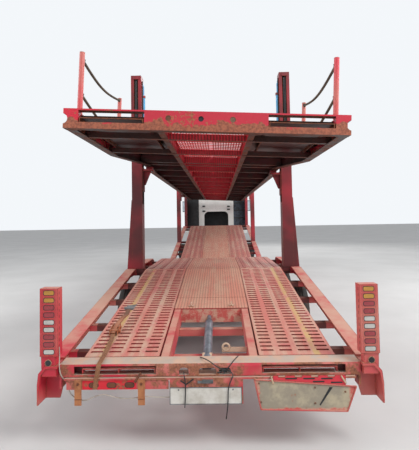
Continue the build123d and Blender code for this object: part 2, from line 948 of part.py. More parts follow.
def wheel_rim(centre_x, station, radius, width, bead, face_side, hub_back):
    """Steel rim: a barrel below the tyre, a disc with hand holes and a bored hub."""
    half = width / 2 - rim_inset
    seat = bead - fit_gap
    barrel = wheel_prism(seat, -half, half) - wheel_prism(seat - rim_wall, -half - 1, half + 1)
    face = half - disc_setback
    disc = wheel_prism(seat - rim_wall + 2, face - disc_wall, face)
    middle_ring = (seat - rim_wall + hub_radius) / 2
    holes = []
    for k in range(hand_holes):
        angle = 2 * math.pi * (k + 0.5) / hand_holes
        hole = wheel_prism(hand_hole_radius, face - disc_wall - 1, face + 1, 6)
        holes.append(Pos(0, middle_ring * math.cos(angle), middle_ring * math.sin(angle)) * hole)
    hub = wheel_prism(hub_radius, hub_back, half - 44, hub_sides)
    bore = rod((hub_back - 1, 0, 0), (half, 0, 0), hub_bore)
    rim = fused([barrel, disc - holes, hub]) - bore
    if face_side < 0:
        rim = mirrored(rim)
    return Pos(centre_x, station, radius) * rim


def make_trailer_wheels():
    size = (trailer_tyre_radius, trailer_tyre_width, trailer_rim_radius)
    for number, station in enumerate(trailer_axles, 1):
        for side, word in ((-1, "left"), (1, "right")):
            x = side * trailer_wheel_x
            node(f"trailer_tyre_{number}_{word}", [tyre(x, station, *size)])
            node(f"trailer_rim_{number}_{word}", [wheel_rim(x, station, *size, side, -100)])


def make_tractor_wheels():
    size = (tractor_tyre_radius, tractor_tyre_width, tractor_rim_radius)
    for side, word in ((-1, "left"), (1, "right")):
        x = side * steer_wheel_x
        node(f"steer_tyre_{word}", [tyre(x, steer_axle, *size)])
        node(f"steer_rim_{word}", [wheel_rim(x, steer_axle, *size, side, -50)])
        outer = side * twin_outer_x
        inner = side * twin_inner_x
        node(f"drive_tyres_{word}", [tyre(outer, drive_axle, *size), tyre(inner, drive_axle, *size)])
        discs = [wheel_rim(outer, drive_axle, *size, -side, -60),
                 wheel_rim(inner, drive_axle, *size, side, -60)]
        link = wheel_prism(hub_radius, min(outer, inner), max(outer, inner), hub_sides)
        link = link - rod((min(outer, inner) - 1, 0, 0), (max(outer, inner) + 1, 0, 0), hub_bore)
        link = Pos(0, drive_axle, tractor_tyre_radius) * link
        node(f"drive_rims_{word}", [fused(discs + [link])])


# Running gear of the trailer

def trailer_running_gear():
    """Dead axles on leaf springs under the rear of the trailer."""
    shapes = []
    for station in trailer_axles:
        beam = rod((-960, station, trailer_tyre_radius), (960, station, trailer_tyre_radius), 60)
        spindle = rod((-1225, station, trailer_tyre_radius), (1225, station, trailer_tyre_radius), 29.95)
        parts = [beam, spindle]
        for side in (-1, 1):
            x0 = side * spring_beam_centre - 38
            for step, half in ((0, spring_half), (1, spring_half - 80), (2, spring_half - 180)):
                z = trailer_tyre_radius + 60 + 62 - step * 20
                parts.append(block(x0, x0 + 76, station - half, station + half, z, z + 21))
            parts.append(block(x0 - 6, x0 + 82, station - 70, station + 70, trailer_tyre_radius + 20,
                               trailer_tyre_radius + 84))
            for end in (-1, 1):
                s = station + end * (spring_half - 10)
                lowest = min(deck_height(s - 30), deck_height(s + 30))
                top = lowest - spring_beam_depth - fit_gap
                parts.append(block(x0 + 4, x0 + 72, s - 30, s + 30, trailer_tyre_radius + 120, top))
        shapes.append(fused(parts))
    return shapes


def landing_legs():
    """Raised landing legs with their cross shaft and feet."""
    leg_x = 620.0
    station = landing_station + member_width / 2
    top = deck_height(landing_station) - front_seat - member_depth - fit_gap
    z_low = 420.0
    outer = block(leg_x - 55, leg_x + 55, station - 55, station + 55, z_low + 60, top)
    inner = block(leg_x - 42, leg_x + 42, station - 42, station + 42, z_low, z_low + 70)
    foot = block(leg_x - 110, leg_x + 110, station - 100, station + 100, z_low - 12, z_low + 2)
    return pair(fused([outer, inner, foot]))


def kingpin_plate():
    low = coupling_height + fit_gap
    plate = block(-coupling_half, coupling_half, coupling_rear, coupling_front, low, low + coupling_plate)
    pin = rod((0, kingpin_station, coupling_height - 75), (0, kingpin_station, low + 4), kingpin_radius)
    ribs = []
    for x0 in neck_rib_places:
        stops = (coupling_rear + 10, coupling_front - 10)
        under = [(s, deck_height(s) - neck_depth - fit_gap) for s in stops]
        base = [(s, low + coupling_plate - 2) for s in reversed(stops)]
        ribs.append(prism_x(under + base, x0, x0 + 12))
    return [fused([plate, pin] + ribs)]


# Tractor chassis

def tractor_frame():
    web = block(frame_outer - frame_wall, frame_outer, frame_rear, frame_front, frame_bottom, frame_top)
    top = block(frame_inner, frame_outer, frame_rear, frame_front, frame_top - frame_wall, frame_top)
    low = block(frame_inner, frame_outer, frame_rear, frame_front, frame_bottom, frame_bottom + frame_wall)
    bracket = block(frame_outer - 70, frame_outer, frame_front - 5, tilt_station + 30, tilt_height - 90,
                    tilt_height + 20)
    side = fused([web, top, low, bracket])
    members = []
    for station in (frame_rear, kingpin_station + 200, kingpin_station + 1600, frame_front - 150):
        members.append(block(-frame_outer + 2, frame_outer - 2, station, station + member_width,
                             frame_bottom + 40, frame_top - 40))
    whole = fused([side, mirrored(side)] + members)
    reach = tilt_ear_x + 2 * tilt_ear_width
    pin = rod((-reach, tilt_station, tilt_height), (reach, tilt_station, tilt_height),
              tilt_pin_radius + wheel_play)
    return [whole - pin]


def fifth_wheel():
    """Coupling plate with the throat for the kingpin, on two pedestals."""
    low = coupling_height - 45
    disc = Pos(0, kingpin_station, low) * extrude(RegularPolygon(460, 24), amount=45)
    slit = kingpin_radius + 3.6
    throat = prism_z([(-200, kingpin_station - 470), (200, kingpin_station - 470),
                      (slit, kingpin_station - 80), (slit, kingpin_station), (-slit, kingpin_station),
                      (-slit, kingpin_station - 80)], low - 15, coupling_height + 10)
    hole = rod((0, kingpin_station, low - 15), (0, kingpin_station, coupling_height + 10), slit)
    plate = disc - [throat, hole]
    pedestals = []
    for side in (-1, 1):
        x0 = side * 385 - 38
        pedestals.append(prism_x([(kingpin_station - 250, frame_top + fit_gap),
                                  (kingpin_station + 250, frame_top + fit_gap),
                                  (kingpin_station + 100, low + 5), (kingpin_station - 100, low + 5)],
                                 x0, x0 + 76))
    return [fused([plate] + pedestals)]


def drive_axle_casing():
    """Drive axle: tubes, round bowl, pinion nose, air springs and their beams."""
    z = tractor_tyre_radius
    bowl = wheel_loft([(-230, 75), (-150, 190), (-60, 215), (60, 215), (150, 190), (230, 75)], 20)
    tubes = wheel_prism(75, -twin_inner_x + 115, twin_inner_x - 115, hub_sides)
    nose = rod((0, 120, 0), (0, 330, 0), 70)
    casing = Pos(0, drive_axle, z) * fused([bowl, tubes, nose])
    shaft_end = twin_outer_x + 90
    parts = [casing, rod((-shaft_end, drive_axle, z), (shaft_end, drive_axle, z), spindle_radius)]
    for side in (-1, 1):
        x = side * spring_x
        parts.append(block(x - spring_width / 2, x + spring_width / 2, drive_axle - 400, drive_axle + 400,
                           z - 30, z + 30))
        for ahead in (-1, 1):
            s = drive_axle + ahead * 330
            spring = extrude(RegularPolygon(70, 12), amount=frame_bottom - fit_gap - z - 25)
            parts.append(Pos(x, s, z + 25) * spring)
    return fused(parts)


def steer_axle_beam():
    """Forged front beam with its kingpins, on leaf springs."""
    z = tractor_tyre_radius
    half = knuckle_x - 60
    right = [(knuckle_x, z + 28), (knuckle_x, z - 30), (half, z - 30), (half - 90, z - 100)]
    left = [(-x, height) for x, height in reversed(right)]
    top = [(-half, z + 28), (-half + 90, z - 20), (half - 90, z - 20), (half, z + 28)]
    parts = [prism_y(right + left + top, steer_axle - 32, steer_axle + 32)]
    for side in (-1, 1):
        x = side * knuckle_x
        parts.append(rod((x, steer_axle, z - 90), (x, steer_axle, z + 90), kingpin_bolt))
        parts.append(rod((x, steer_axle, z - 30), (x, steer_axle, z + 28), kingpin_bolt + 7))
        x0 = side * spring_x - spring_width / 2
        for step, reach in enumerate((600, 480, 340)):
            top = z + 5 - 20 * step
            parts.append(block(x0, x0 + spring_width, steer_axle - reach, steer_axle + reach, top - 21, top))
        for end in (-1, 1):
            s = steer_axle + end * 570
            parts.append(block(x0 + 6, x0 + spring_width - 6, s - 25, s + 25, z, frame_bottom - fit_gap))
    return fused(parts)


def tractor_axles():
    return [drive_axle_casing(), steer_axle_beam()]


def knuckle(side):
    """Steering knuckle: yoke on the kingpin, spindle for the wheel and steering arm."""
    z = tractor_tyre_radius
    x = side * knuckle_x
    lugs = []
    for z0, z1 in ((z - 78, z - 36), (z + 34, z + 78)):
        lugs.append(Pos(x, steer_axle, z0) * extrude(RegularPolygon(46, 12), amount=z1 - z0))
    spindle = rod((side * (knuckle_x + 40), steer_axle, z), (side * (steer_wheel_x + 130), steer_axle, z),
                  spindle_radius)
    x_low = min(side * (knuckle_x + 35), side * (knuckle_x + 60))
    plate = block(x_low, x_low + 25, steer_axle - 45, steer_axle + 45, z - 78, z + 78)
    tip = x - side * 120
    arm = block(min(x, tip), max(x, tip), steer_axle - 205, steer_axle - 180, z - 78, z - 58)
    link = block(x - 20, x + 20, steer_axle - 200, steer_axle, z - 78, z - 58)
    body = fused(lugs + [spindle, plate, arm, link])
    bolt = rod((x, steer_axle, z - 100), (x, steer_axle, z + 100), kingpin_bolt + wheel_play)
    return [body - bolt]


def side_tanks():
    """Fuel tank on the left, battery box and air bottle on the right, on the frame rails."""
    end = Plane.XZ * RectangleRounded(tank_width, tank_height, 90)
    tank = extrude(end, amount=tank_length, dir=(0, 1, 0))
    left = Pos(-(frame_outer + tank_setoff + tank_width / 2), tank_rear, tank_middle) * tank
    brackets = []
    for station in (tank_rear + 250, tank_rear + tank_length - 300):
        brackets.append(block(-(frame_outer + tank_setoff + 10), -(frame_outer + fit_gap), station,
                              station + member_width, frame_bottom + 40, frame_top - 50))
    box_rear = tank_rear + 100
    box_front = box_rear + box_length
    box = block(frame_outer + tank_setoff, frame_outer + tank_setoff + tank_width, box_rear, box_front,
                tank_middle - 260, tank_middle + 240)
    bottle_x = frame_outer + tank_width / 2 + 50
    bottle = rod((bottle_x, box_front + 50, tank_middle - 50), (bottle_x, box_front + 750, tank_middle - 50),
                 bottle_radius)
    arms = []
    for station, reach in ((box_rear + 250, tank_setoff + 10), (box_front + 350, 180)):
        arms.append(block(frame_outer + fit_gap, frame_outer + reach, station, station + member_width,
                          frame_bottom + 40, frame_bottom + 100))
    return [fused([left] + brackets), fused([box, arms[0]]), fused([bottle, arms[1]])]


def arc_guard(centre_x, width, station, height, radius, start, end, thick):
    """A folded guard around a tyre between two angles."""
    steps = max(3, round((end - start) / guard_step))
    angles = [math.radians(start + (end - start) * k / steps) for k in range(steps + 1)]
    outer = [((radius + thick) * math.cos(a), (radius + thick) * math.sin(a)) for a in angles]
    inner = [(radius * math.cos(a), radius * math.sin(a)) for a in reversed(angles)]
    ring = prism_x(outer + inner, -width / 2, width / 2)
    return Pos(centre_x, station, height) * ring


def mudguards():
    shapes = []
    z = tractor_tyre_radius
    front = arc_guard(steer_wheel_x, 300, steer_axle, z, 530, 15, 185, 12)
    stay_station = steer_axle - 540
    stay = block(frame_outer + fit_gap, steer_wheel_x - 145, stay_station - 18, stay_station + 18,
                 z + 232, z + 268)
    clip = block(steer_wheel_x - 160, steer_wheel_x - 140, stay_station - 20, stay_station + 80,
                 z + 225, z + 275)
    shapes += pair(fused([front, clip, stay]))
    for start, end in ((8, 62), (118, 172)):
        guard = arc_guard((twin_outer_x + twin_inner_x) / 2, 610, drive_axle, z, 490, start, end, 10)
        angle = math.radians((start + end) / 2)
        y = drive_axle + 497 * math.cos(angle)
        height = z + 497 * math.sin(angle)
        arm = block(frame_outer + fit_gap, twin_inner_x - 130, y - 16, y + 16, height - 16, height + 4)
        shapes += pair(fused([guard, arm]))
    return shapes


def plan_face(half, rear, front, radius):
    """A rectangle seen from above, with its two front corners rounded."""
    outline = Pos(0, (rear + front) / 2) * Rectangle(2 * half, front - rear)
    corners = outline.vertices().group_by(Axis.Y)[-1]
    return fillet(corners, radius)


def bumper_layer(outer, inner):
    """The wrap of the bumper between two depths from its outside."""
    skins = []
    for inset, rear in ((outer, bumper_rear), (inner, bumper_rear - 50)):
        face = plan_face(cab_half - inset, rear, overall_length - inset, bumper_corner - inset)
        skins.append(extrude(face, amount=cab_bottom))
    return skins[0] - skins[1]


def bumper():
    """Bumper wrapped round the front corners, with an intake and two lamp pockets."""
    low_edge = overall_length - 60
    profile = [
        (bumper_rear, bumper_low + 70),
        (low_edge - 200, bumper_low + 70),
        (low_edge - 60, bumper_low),
        (low_edge, bumper_low),
        (overall_length, bumper_low + 90),
        (overall_length, bumper_top - 100),
        (overall_length - 18, bumper_top),
        (low_edge - 10, bumper_top),
        (low_edge - 10, bumper_side_top),
        (bumper_rear, bumper_side_top),
    ]
    shell = bumper_layer(0, bumper_wall) & prism_x(profile, -half_width, half_width)
    pockets = pair(block(lamp_x0, lamp_x1, low_edge - 200, overall_length + 1, lamp_z0, lamp_z1))
    intake = block(-intake_half, intake_half, low_edge, overall_length + 1, lamp_z0 - 40, lamp_z1 - 20)
    shell = shell - (pockets + [intake])
    slats = []
    for step in range(2):
        z = lamp_z0 + 5 + 60 * step
        slats.append(block(-intake_half - 5, intake_half + 5, overall_length - bumper_wall,
                           overall_length - 6, z - 8, z + 8))
    arms = pair(block(frame_outer - 70, frame_outer, frame_front + fit_gap, overall_length - bumper_wall + 5,
                      frame_bottom + 50, frame_bottom + 90))
    return [fused([shell] + slats + arms)]


def headlamps():
    """Lamp glasses that follow the bumper, and the bowls behind them."""
    lens = block(lamp_x0 + fit_gap, lamp_x1 - fit_gap, overall_length - 260, overall_length,
                 lamp_z0 + fit_gap, lamp_z1 - fit_gap)
    return pair(bumper_layer(3, bumper_wall + 15) & lens)


def step_boxes():
    rear = steer_axle + 550
    front = cab_front - 110
    box = block(960, cab_half - bumper_wall - 40, rear, front, 380, 1080)
    treads = [block(1000, cab_half, rear + 40, front - 40, z, z + 190) for z in (760, 480)]
    stay = block(frame_outer + fit_gap, 965, rear + 175, rear + 225, 675, 725)
    return pair(fused([box - treads, stay]))


def engine_block():
    block_half = 330
    body = block(-block_half, block_half, cab_rear + 250, cab_rear + 1650, 620, cab_floor + 30)
    mounts = []
    for station in (cab_rear + 500, cab_rear + 1300):
        mounts += pair(block(block_half - 5, frame_outer - frame_wall - fit_gap, station, station + 90,
                             690, 760))
    return [fused([body] + mounts)]


# Cab: its skin is the common part of a side, a plan and a front outline

def cab_side(inset):
    """Side outline of the cab as (station, height) points, moved inwards by an inset."""
    roof = cab_roof - inset
    return [
        (cab_rear + inset, cab_bottom + inset),
        (cab_rear + inset, roof - roof_rear_slope),
        (cab_rear + roof_rear_slope + inset, roof),
        (cab_front - screen_setback - brow_length, roof),
        (cab_front - screen_setback - inset, screen_top - inset),
        (cab_front - inset, cab_waist),
        (cab_front - inset, cab_bottom + inset),
    ]


def cab_face(inset):
    """Front outline of the cab as (x, height) points: upright sides that lean in above the waist."""
    half = cab_half - inset
    roof = cab_roof - inset
    brow = half - roof_lean
    right = [(half, 0), (half, cab_waist), (brow, roof - roof_edge), (brow - roof_edge, roof)]
    return right + [(-x, z) for x, z in reversed(right)]


def cab_solid(inset):
    side = prism_x(cab_side(inset), -half_width, half_width)
    plan = extrude(plan_face(cab_half - inset, cab_rear + inset, cab_front - inset, cab_corner - inset),
                   amount=cab_roof + 100)
    face = prism_y(cab_face(inset), cab_rear - 10, cab_front + 10)
    return side & plan & face


def arch(half, bottom, top, corner, y0, y1):
    """An upright tunnel along the cab with rounded top corners."""
    outline = Pos(0, (bottom + top) / 2) * Rectangle(2 * half, top - bottom)
    outline = fillet(outline.vertices().group_by(Axis.Y)[-1], corner)
    return Pos(0, y0, 0) * extrude(Plane.XZ * outline, amount=y1 - y0, dir=(0, 1, 0))


def cab_body():
    """Hollow cab with a raised floor and a tunnel over the engine."""
    reach = cab_half - cab_wall
    room = cab_solid(cab_wall) & block(-reach, reach, cab_rear, cab_front, cab_floor, cab_roof)
    below = block(-reach, reach, cab_rear + cab_wall, cab_front - cab_corner, cab_bottom - 1,
                  cab_floor - cab_wall)
    tunnel_end = cab_rear + tunnel_length
    low_front = cab_front - cab_wall - 60
    skins = [
        arch(tunnel_half + tunnel_skin, cab_floor - 1, tunnel_top + tunnel_skin, tunnel_corner + tunnel_skin,
             cab_rear, tunnel_end + tunnel_skin),
        block(-tunnel_half - tunnel_skin, tunnel_half + tunnel_skin, tunnel_end - 10, low_front + tunnel_skin,
              cab_floor - 1, low_tunnel_top + tunnel_skin),
    ]
    voids = [
        arch(tunnel_half, cab_bottom - 1, tunnel_top, tunnel_corner, cab_rear - 1, tunnel_end),
        block(-tunnel_half, tunnel_half, tunnel_end - 10, low_front, cab_bottom - 1, low_tunnel_top),
    ]
    recess = block(-recess_half, recess_half, cab_rear - 1, cab_rear + recess_depth, recess_bottom,
                   recess_top)
    shell = fused([cab_solid(0) - [room, below]] + skins)
    return shell - (voids + [recess])


def door_outline(inset):
    return [
        (door_rear + inset, door_bottom + inset),
        (door_rear + inset, door_top - inset),
        (door_front - door_slant, door_top - inset),
        (door_front - inset, cab_waist + 80),
        (door_front - inset, door_bottom + inset),
    ]


def window_outline(inset):
    return [
        (door_rear + window_frame + inset, window_bottom + inset),
        (door_rear + window_frame + inset, door_top - window_frame - inset),
        (door_front - door_slant - 60, door_top - window_frame - inset),
        (door_front - window_frame - 20 - inset, cab_waist + 60),
        (door_front - window_frame - 20 - inset, window_bottom + inset),
    ]


def screen_cut(inset):
    """Cutter for the windscreen, which wraps a little round the front corners."""
    half = cab_half - screen_frame - inset
    low = screen_bottom + inset
    high = screen_top - window_frame - inset
    outline = [(-half, low), (half, low), (half - roof_lean, high), (-half + roof_lean, high)]
    return prism_y(outline, cab_front - screen_setback - 100, cab_front + 10)


def hinge_on_cab(height):
    """Fixed leaf of a door hinge, with its pin."""
    barrel = rod((hinge_x, door_front, height), (hinge_x, door_front, height + hinge_half), hinge_barrel)
    leaf = block(cab_half - 1, cab_half + 6, door_front + 4, door_front + hinge_leaf, height,
                 height + hinge_half)
    pin = rod((hinge_x, door_front, height + 1), (hinge_x, door_front, height + 2 * hinge_half), hinge_pin)
    return fused([barrel, leaf, pin])


def hinge_on_door(height):
    """Moving leaf of a door hinge."""
    low = height + hinge_half + fit_gap
    high = height + 2 * hinge_half
    barrel = rod((hinge_x, door_front, low), (hinge_x, door_front, high), hinge_barrel)
    leaf = block(cab_half - 1, cab_half + 6, door_front - hinge_leaf, door_front - 8, low, high)
    bore = rod((hinge_x, door_front, low - 1), (hinge_x, door_front, high + 1), hinge_pin + wheel_play)
    return fused([barrel, leaf]) - bore


def cab_shell():
    skin = cab_solid(-5) - cab_solid(cab_wall + 5)
    opening = skin & prism_x(door_outline(0), 0, half_width)
    shell = cab_body() - (pair(opening) + [skin & screen_cut(0)])
    ears = []
    for side in (-1, 1):
        x0 = side * (tilt_ear_x + tilt_ear_width / 2) - tilt_ear_width / 2
        ears.append(prism_x([(tilt_station - 60, tilt_height), (tilt_station - 60, cab_bottom + 20),
                             (tilt_station + 60, cab_bottom + 20), (tilt_station + 60, tilt_height),
                             (tilt_station + 25, tilt_height - 50), (tilt_station - 25, tilt_height - 50)],
                            x0, x0 + tilt_ear_width))
        ears.append(rod((side * (frame_outer - 65), tilt_station, tilt_height),
                        (side * (tilt_ear_x + tilt_ear_width), tilt_station, tilt_height), tilt_pin_radius))
    hinges = []
    for height in hinge_heights:
        hinges += pair(hinge_on_cab(height))
    return [fused([shell] + ears + hinges)]


def front_panel():
    """Grille panel wrapped round the cab's front below the windscreen."""
    rear = cab_front - 2 * cab_corner
    outer = extrude(plan_face(cab_half - 5, rear, cab_front + panel_thick, cab_corner), amount=cab_roof)
    inner = extrude(plan_face(cab_half + 5, rear - 1, cab_front + fit_gap, cab_corner + 5), amount=cab_roof)
    wrap = block(-cab_half, cab_half, cab_front - cab_corner, overall_length, panel_low, panel_high)
    face = (outer - inner) & wrap
    slots = []
    for row in range(grille_rows):
        z = grille_low + row * grille_pitch
        slots.append(block(-grille_half, grille_half, cab_front + 20, overall_length, z, z + grille_slot))
    return [face - slots]


def windscreen():
    pane = cab_solid(glass_inset) - cab_solid(glass_inset + glass_thick + 2)
    return [pane & screen_cut(fit_gap)]


def side_fairings():
    """Side air deflectors behind the cab's rear corners."""
    front = cab_rear - fit_gap
    rear = cab_rear - fairing_length
    outline = [(cab_half - fairing_thick, front), (cab_half, front), (cab_half - 40, rear),
               (cab_half - 40 - fairing_thick, rear)]
    low = prism_z(outline, cab_floor + 50, cab_waist)
    foot = Pos(0, 0, cab_waist) * Polygon(*outline, align=None)
    head = Pos(-roof_lean, 0, cab_roof - roof_edge) * Polygon(*outline, align=None)
    high = loft([foot, head], ruled=True)
    stays = [block(cab_half - 140, cab_half - 12, cab_rear - 60, front, z, z + 40)
             for z in (cab_floor + 350, cab_waist - 100)]
    return pair(fused([low, high] + stays))


def door(side):
    skin = cab_solid(0) - cab_solid(cab_wall)
    leaf = (skin & prism_x(door_outline(door_gap), 0, half_width)) - prism_x(window_outline(0), 0, half_width)
    handle = block(cab_half - 2, cab_half + 24, door_rear + 60, door_rear + 220, cab_waist - 170,
                   cab_waist - 140)
    leaf = fused([leaf, handle] + [hinge_on_door(height) for height in hinge_heights])
    if side < 0:
        leaf = mirrored(leaf)
    return [leaf]


def door_glass(side):
    layer = cab_solid(glass_inset) - cab_solid(glass_inset + glass_thick)
    pane = layer & prism_x(window_outline(fit_gap), 0, half_width)
    if side < 0:
        pane = mirrored(pane)
    return [pane]


def mirror_arms():
    head = block(cab_half + 70, cab_half + 290, door_front + 90, door_front + 190, cab_waist + 80,
                 cab_waist + 560)
    arms = [block(cab_half - 60, cab_half + 80, door_front + 110, door_front + 145, z, z + 35)
            for z in (cab_waist + 120, cab_waist + 480)]
    return pair(fused([head] + arms) - cab_solid(-fit_gap))


def seats():
    shapes = []
    top = seat_height + seat_cushion
    for side in (-1, 1):
        x = side * seat_x
        half = seat_width / 2
        base = block(x - half + 70, x + half - 70, seat_rear + 60, seat_rear + 420, cab_floor + fit_gap,
                     seat_height + 10)
        cushion = block(x - half, x + half, seat_rear, seat_rear + seat_length, seat_height, top)
        back = prism_x([(seat_rear, top - 10), (seat_rear + 120, top - 10), (seat_rear, top + seat_back),
                        (seat_rear - 120, top + seat_back)], x - half + 5, x + half - 5)
        shapes.append(fused([base, cushion, back]))
    return shapes


def dashboard():
    """Dashboard on two legs, with the steering column and wheel on the left."""
    rear = dash_front - dash_depth
    reach = cab_half - 90
    board = prism_x([(rear, dash_high - 160), (rear + 140, dash_high), (dash_front, dash_high),
                     (dash_front, dash_low), (rear + 140, dash_low)], -reach, reach)
    legs = pair(block(tunnel_half + 100, tunnel_half + 160, dash_front - 240, dash_front, cab_floor + fit_gap,
                      dash_low + 10))
    board = board & cab_solid(cab_wall + fit_gap)
    column = rod((-seat_x, rear + 60, dash_high - 110), (-seat_x, rear - 155, dash_high + 56), 28)
    ring = RegularPolygon(steering_radius, 20) - RegularPolygon(steering_radius - steering_rim, 20)
    wheel = extrude(ring, amount=steering_rim)
    spokes = block(-steering_radius + 20, steering_radius - 20, -20, 20, 0, 18)
    placed = Pos(-seat_x, rear - 150, dash_high + 52) * Rot(51.3, 0, 0) * fused([wheel, spokes])
    return [fused([board] + legs + [column, placed])]


node("trailer_frame", [trailer_frame()])
node("rear_tracks", rear_tracks())
node("deck_plates", deck_plates())
node("rear_beam", rear_beam())
node("number_plate", number_plate())
node("tail_flap", tail_flap())
node("lamp_columns", lamp_columns())
node("lamp_lenses", lamp_lenses())
node("deck_posts", rear_posts() + forward_posts())
node("hydraulic_cylinders", lift_cylinders() + ramp_cylinder())
node("trailer_axles", trailer_running_gear())
node("landing_legs", landing_legs())
node("kingpin_plate", kingpin_plate())
ramp = stowed_ramp()
node("ramp_right", [ramp])
node("ramp_left", [mirrored(ramp)])
node("upper_frame", upper_frame())
node("upper_tracks", upper_tracks())
node("upper_mesh", upper_mesh())
node("upper_ramps", upper_ramps())
node("stanchions", stanchions())
node("rear_carriages", rear_carriages())
node("middle_carriages", middle_carriages())
make_trailer_wheels()
node("tractor_frame", tractor_frame())
node("fifth_wheel", fifth_wheel())
node("tractor_axles", tractor_axles())
node("side_tanks", side_tanks())
node("mudguards", mudguards())
node("bumper", bumper())
node("headlamps", headlamps())
node("step_boxes", step_boxes())
node("engine", engine_block())
make_tractor_wheels()
node("knuckle_left", knuckle(-1))
node("knuckle_right", knuckle(1))
node("cab_shell", cab_shell())
node("front_panel", front_panel())
node("windscreen", windscreen())
node("side_fairings", side_fairings())
node("mirrors", mirror_arms())
node("seats", seats())
node("dashboard", dashboard())
node("door_left", door(-1))
node("door_right", door(1))
node("door_glass_left", door_glass(-1))
node("door_glass_right", door_glass(1))

os.makedirs("parts", exist_ok=True)
for name, solids in nodes.items():
    moved = [Pos(0, -overall_length / 2, 0) * solid for solid in solids]
    export_step(Compound(children=moved), f"parts/{name}.step")
print(len(nodes), "nodes written")
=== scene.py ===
"""Looks of the car transporter: worn paint, deck plates, tyres, ropes, lamps and small fittings."""

import json
import math

import bmesh
import bpy
from mathutils import Matrix, Vector


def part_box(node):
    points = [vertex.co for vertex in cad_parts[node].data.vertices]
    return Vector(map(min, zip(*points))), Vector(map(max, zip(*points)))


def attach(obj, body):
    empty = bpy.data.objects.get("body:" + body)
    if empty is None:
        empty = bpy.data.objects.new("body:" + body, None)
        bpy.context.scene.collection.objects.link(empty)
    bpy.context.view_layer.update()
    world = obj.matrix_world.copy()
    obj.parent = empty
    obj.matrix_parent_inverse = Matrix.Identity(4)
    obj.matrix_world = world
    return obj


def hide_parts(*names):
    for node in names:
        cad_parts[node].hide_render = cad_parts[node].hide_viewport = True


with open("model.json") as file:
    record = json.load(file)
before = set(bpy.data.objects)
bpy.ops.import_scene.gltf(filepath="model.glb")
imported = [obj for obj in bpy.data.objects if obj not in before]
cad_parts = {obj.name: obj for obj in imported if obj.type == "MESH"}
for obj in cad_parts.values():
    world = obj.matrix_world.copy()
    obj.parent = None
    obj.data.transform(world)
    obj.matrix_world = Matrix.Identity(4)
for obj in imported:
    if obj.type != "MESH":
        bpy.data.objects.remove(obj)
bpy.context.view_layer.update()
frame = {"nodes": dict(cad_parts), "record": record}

bl_info = {
    "name": "Car Transporter Looks",
    "version": (1, 0, 0),
    "blender": (4, 5, 0),
    "location": "View3D > Sidebar > Transporter",
    "description": "Dresses a two-deck car transporter with worn paint, tyres, ropes, lamps and fittings",
    "category": "Object",
}

# Places are given as X, station forward of the rear lamps, and height, in metres
rear_station = 8.125
sides = (-1, 1)

# Upper deck: how it is rolled about the trailer's length
roll_angle = math.radians(2.75)
roll_height = 2.55
upper_top = 2.59
upper_bottom = 2.465
upper_beam_front = 0.56
upper_front = 13.3
mesh_half = 0.436
track_top = upper_top + 0.0086
deck_roll = (Matrix.Translation((0.0, 0.0, roll_height)) @ Matrix.Rotation(roll_angle, 4, "Y")
             @ Matrix.Translation((0.0, 0.0, -roll_height)))

# Marks on the decks, as distances from the middle, and the pitches of what repeats
stripe_reach = (0.812, 0.855)
# painted shade: X distances of the dark gap between each rail and track
rail_gap_shade_reach = (0.972, 1.112)
centre_plate_half = 0.383
upper_inside_half = 1.190
upper_mesh_reach = 0.400
rib_pitch = 0.150
stud_pitch = 0.030

# Lower deck. Columns: station, height of its surface
deck_line = (
    (0.05, 0.643),
    (2.90, 1.010),
    (4.60, 1.010),
    (5.50, 0.560),
    (7.85, 0.560),
    (12.85, 1.479),
    (13.35, 1.479),
)

# Rear lamps: housing of the right column and its windows
lamp_middle = 1.1825
lamp_inner = 1.115
lamp_top = 1.204
lamp_pitch = 0.0542
# finish of each window, from the top down
lamp_windows = ("amber", "amber", "ruby", "ruby", "clear", "clear", "ruby", "ruby", "clear")

# Side ropes between the stanchions. Columns: name, side, points as (station, height above the deck)
stanchion_x = 1.15
rope_table = (
    ("rope_left_high", -1, ((0.636, 0.522), (0.93, 0.480), (1.31, 0.464), (1.70, 0.502), (2.014, 0.556))),
    ("rope_left_low", -1, ((0.636, 0.205), (0.95, 0.146), (1.33, 0.096), (1.72, 0.062), (2.014, 0.052))),
    ("rope_right_high", 1, ((0.636, 0.530), (0.96, 0.476), (1.36, 0.456), (1.74, 0.496), (2.014, 0.550))),
    ("rope_right_low", 1, ((0.636, 0.236), (0.97, 0.158), (1.35, 0.104), (1.73, 0.068), (2.014, 0.056))),
)

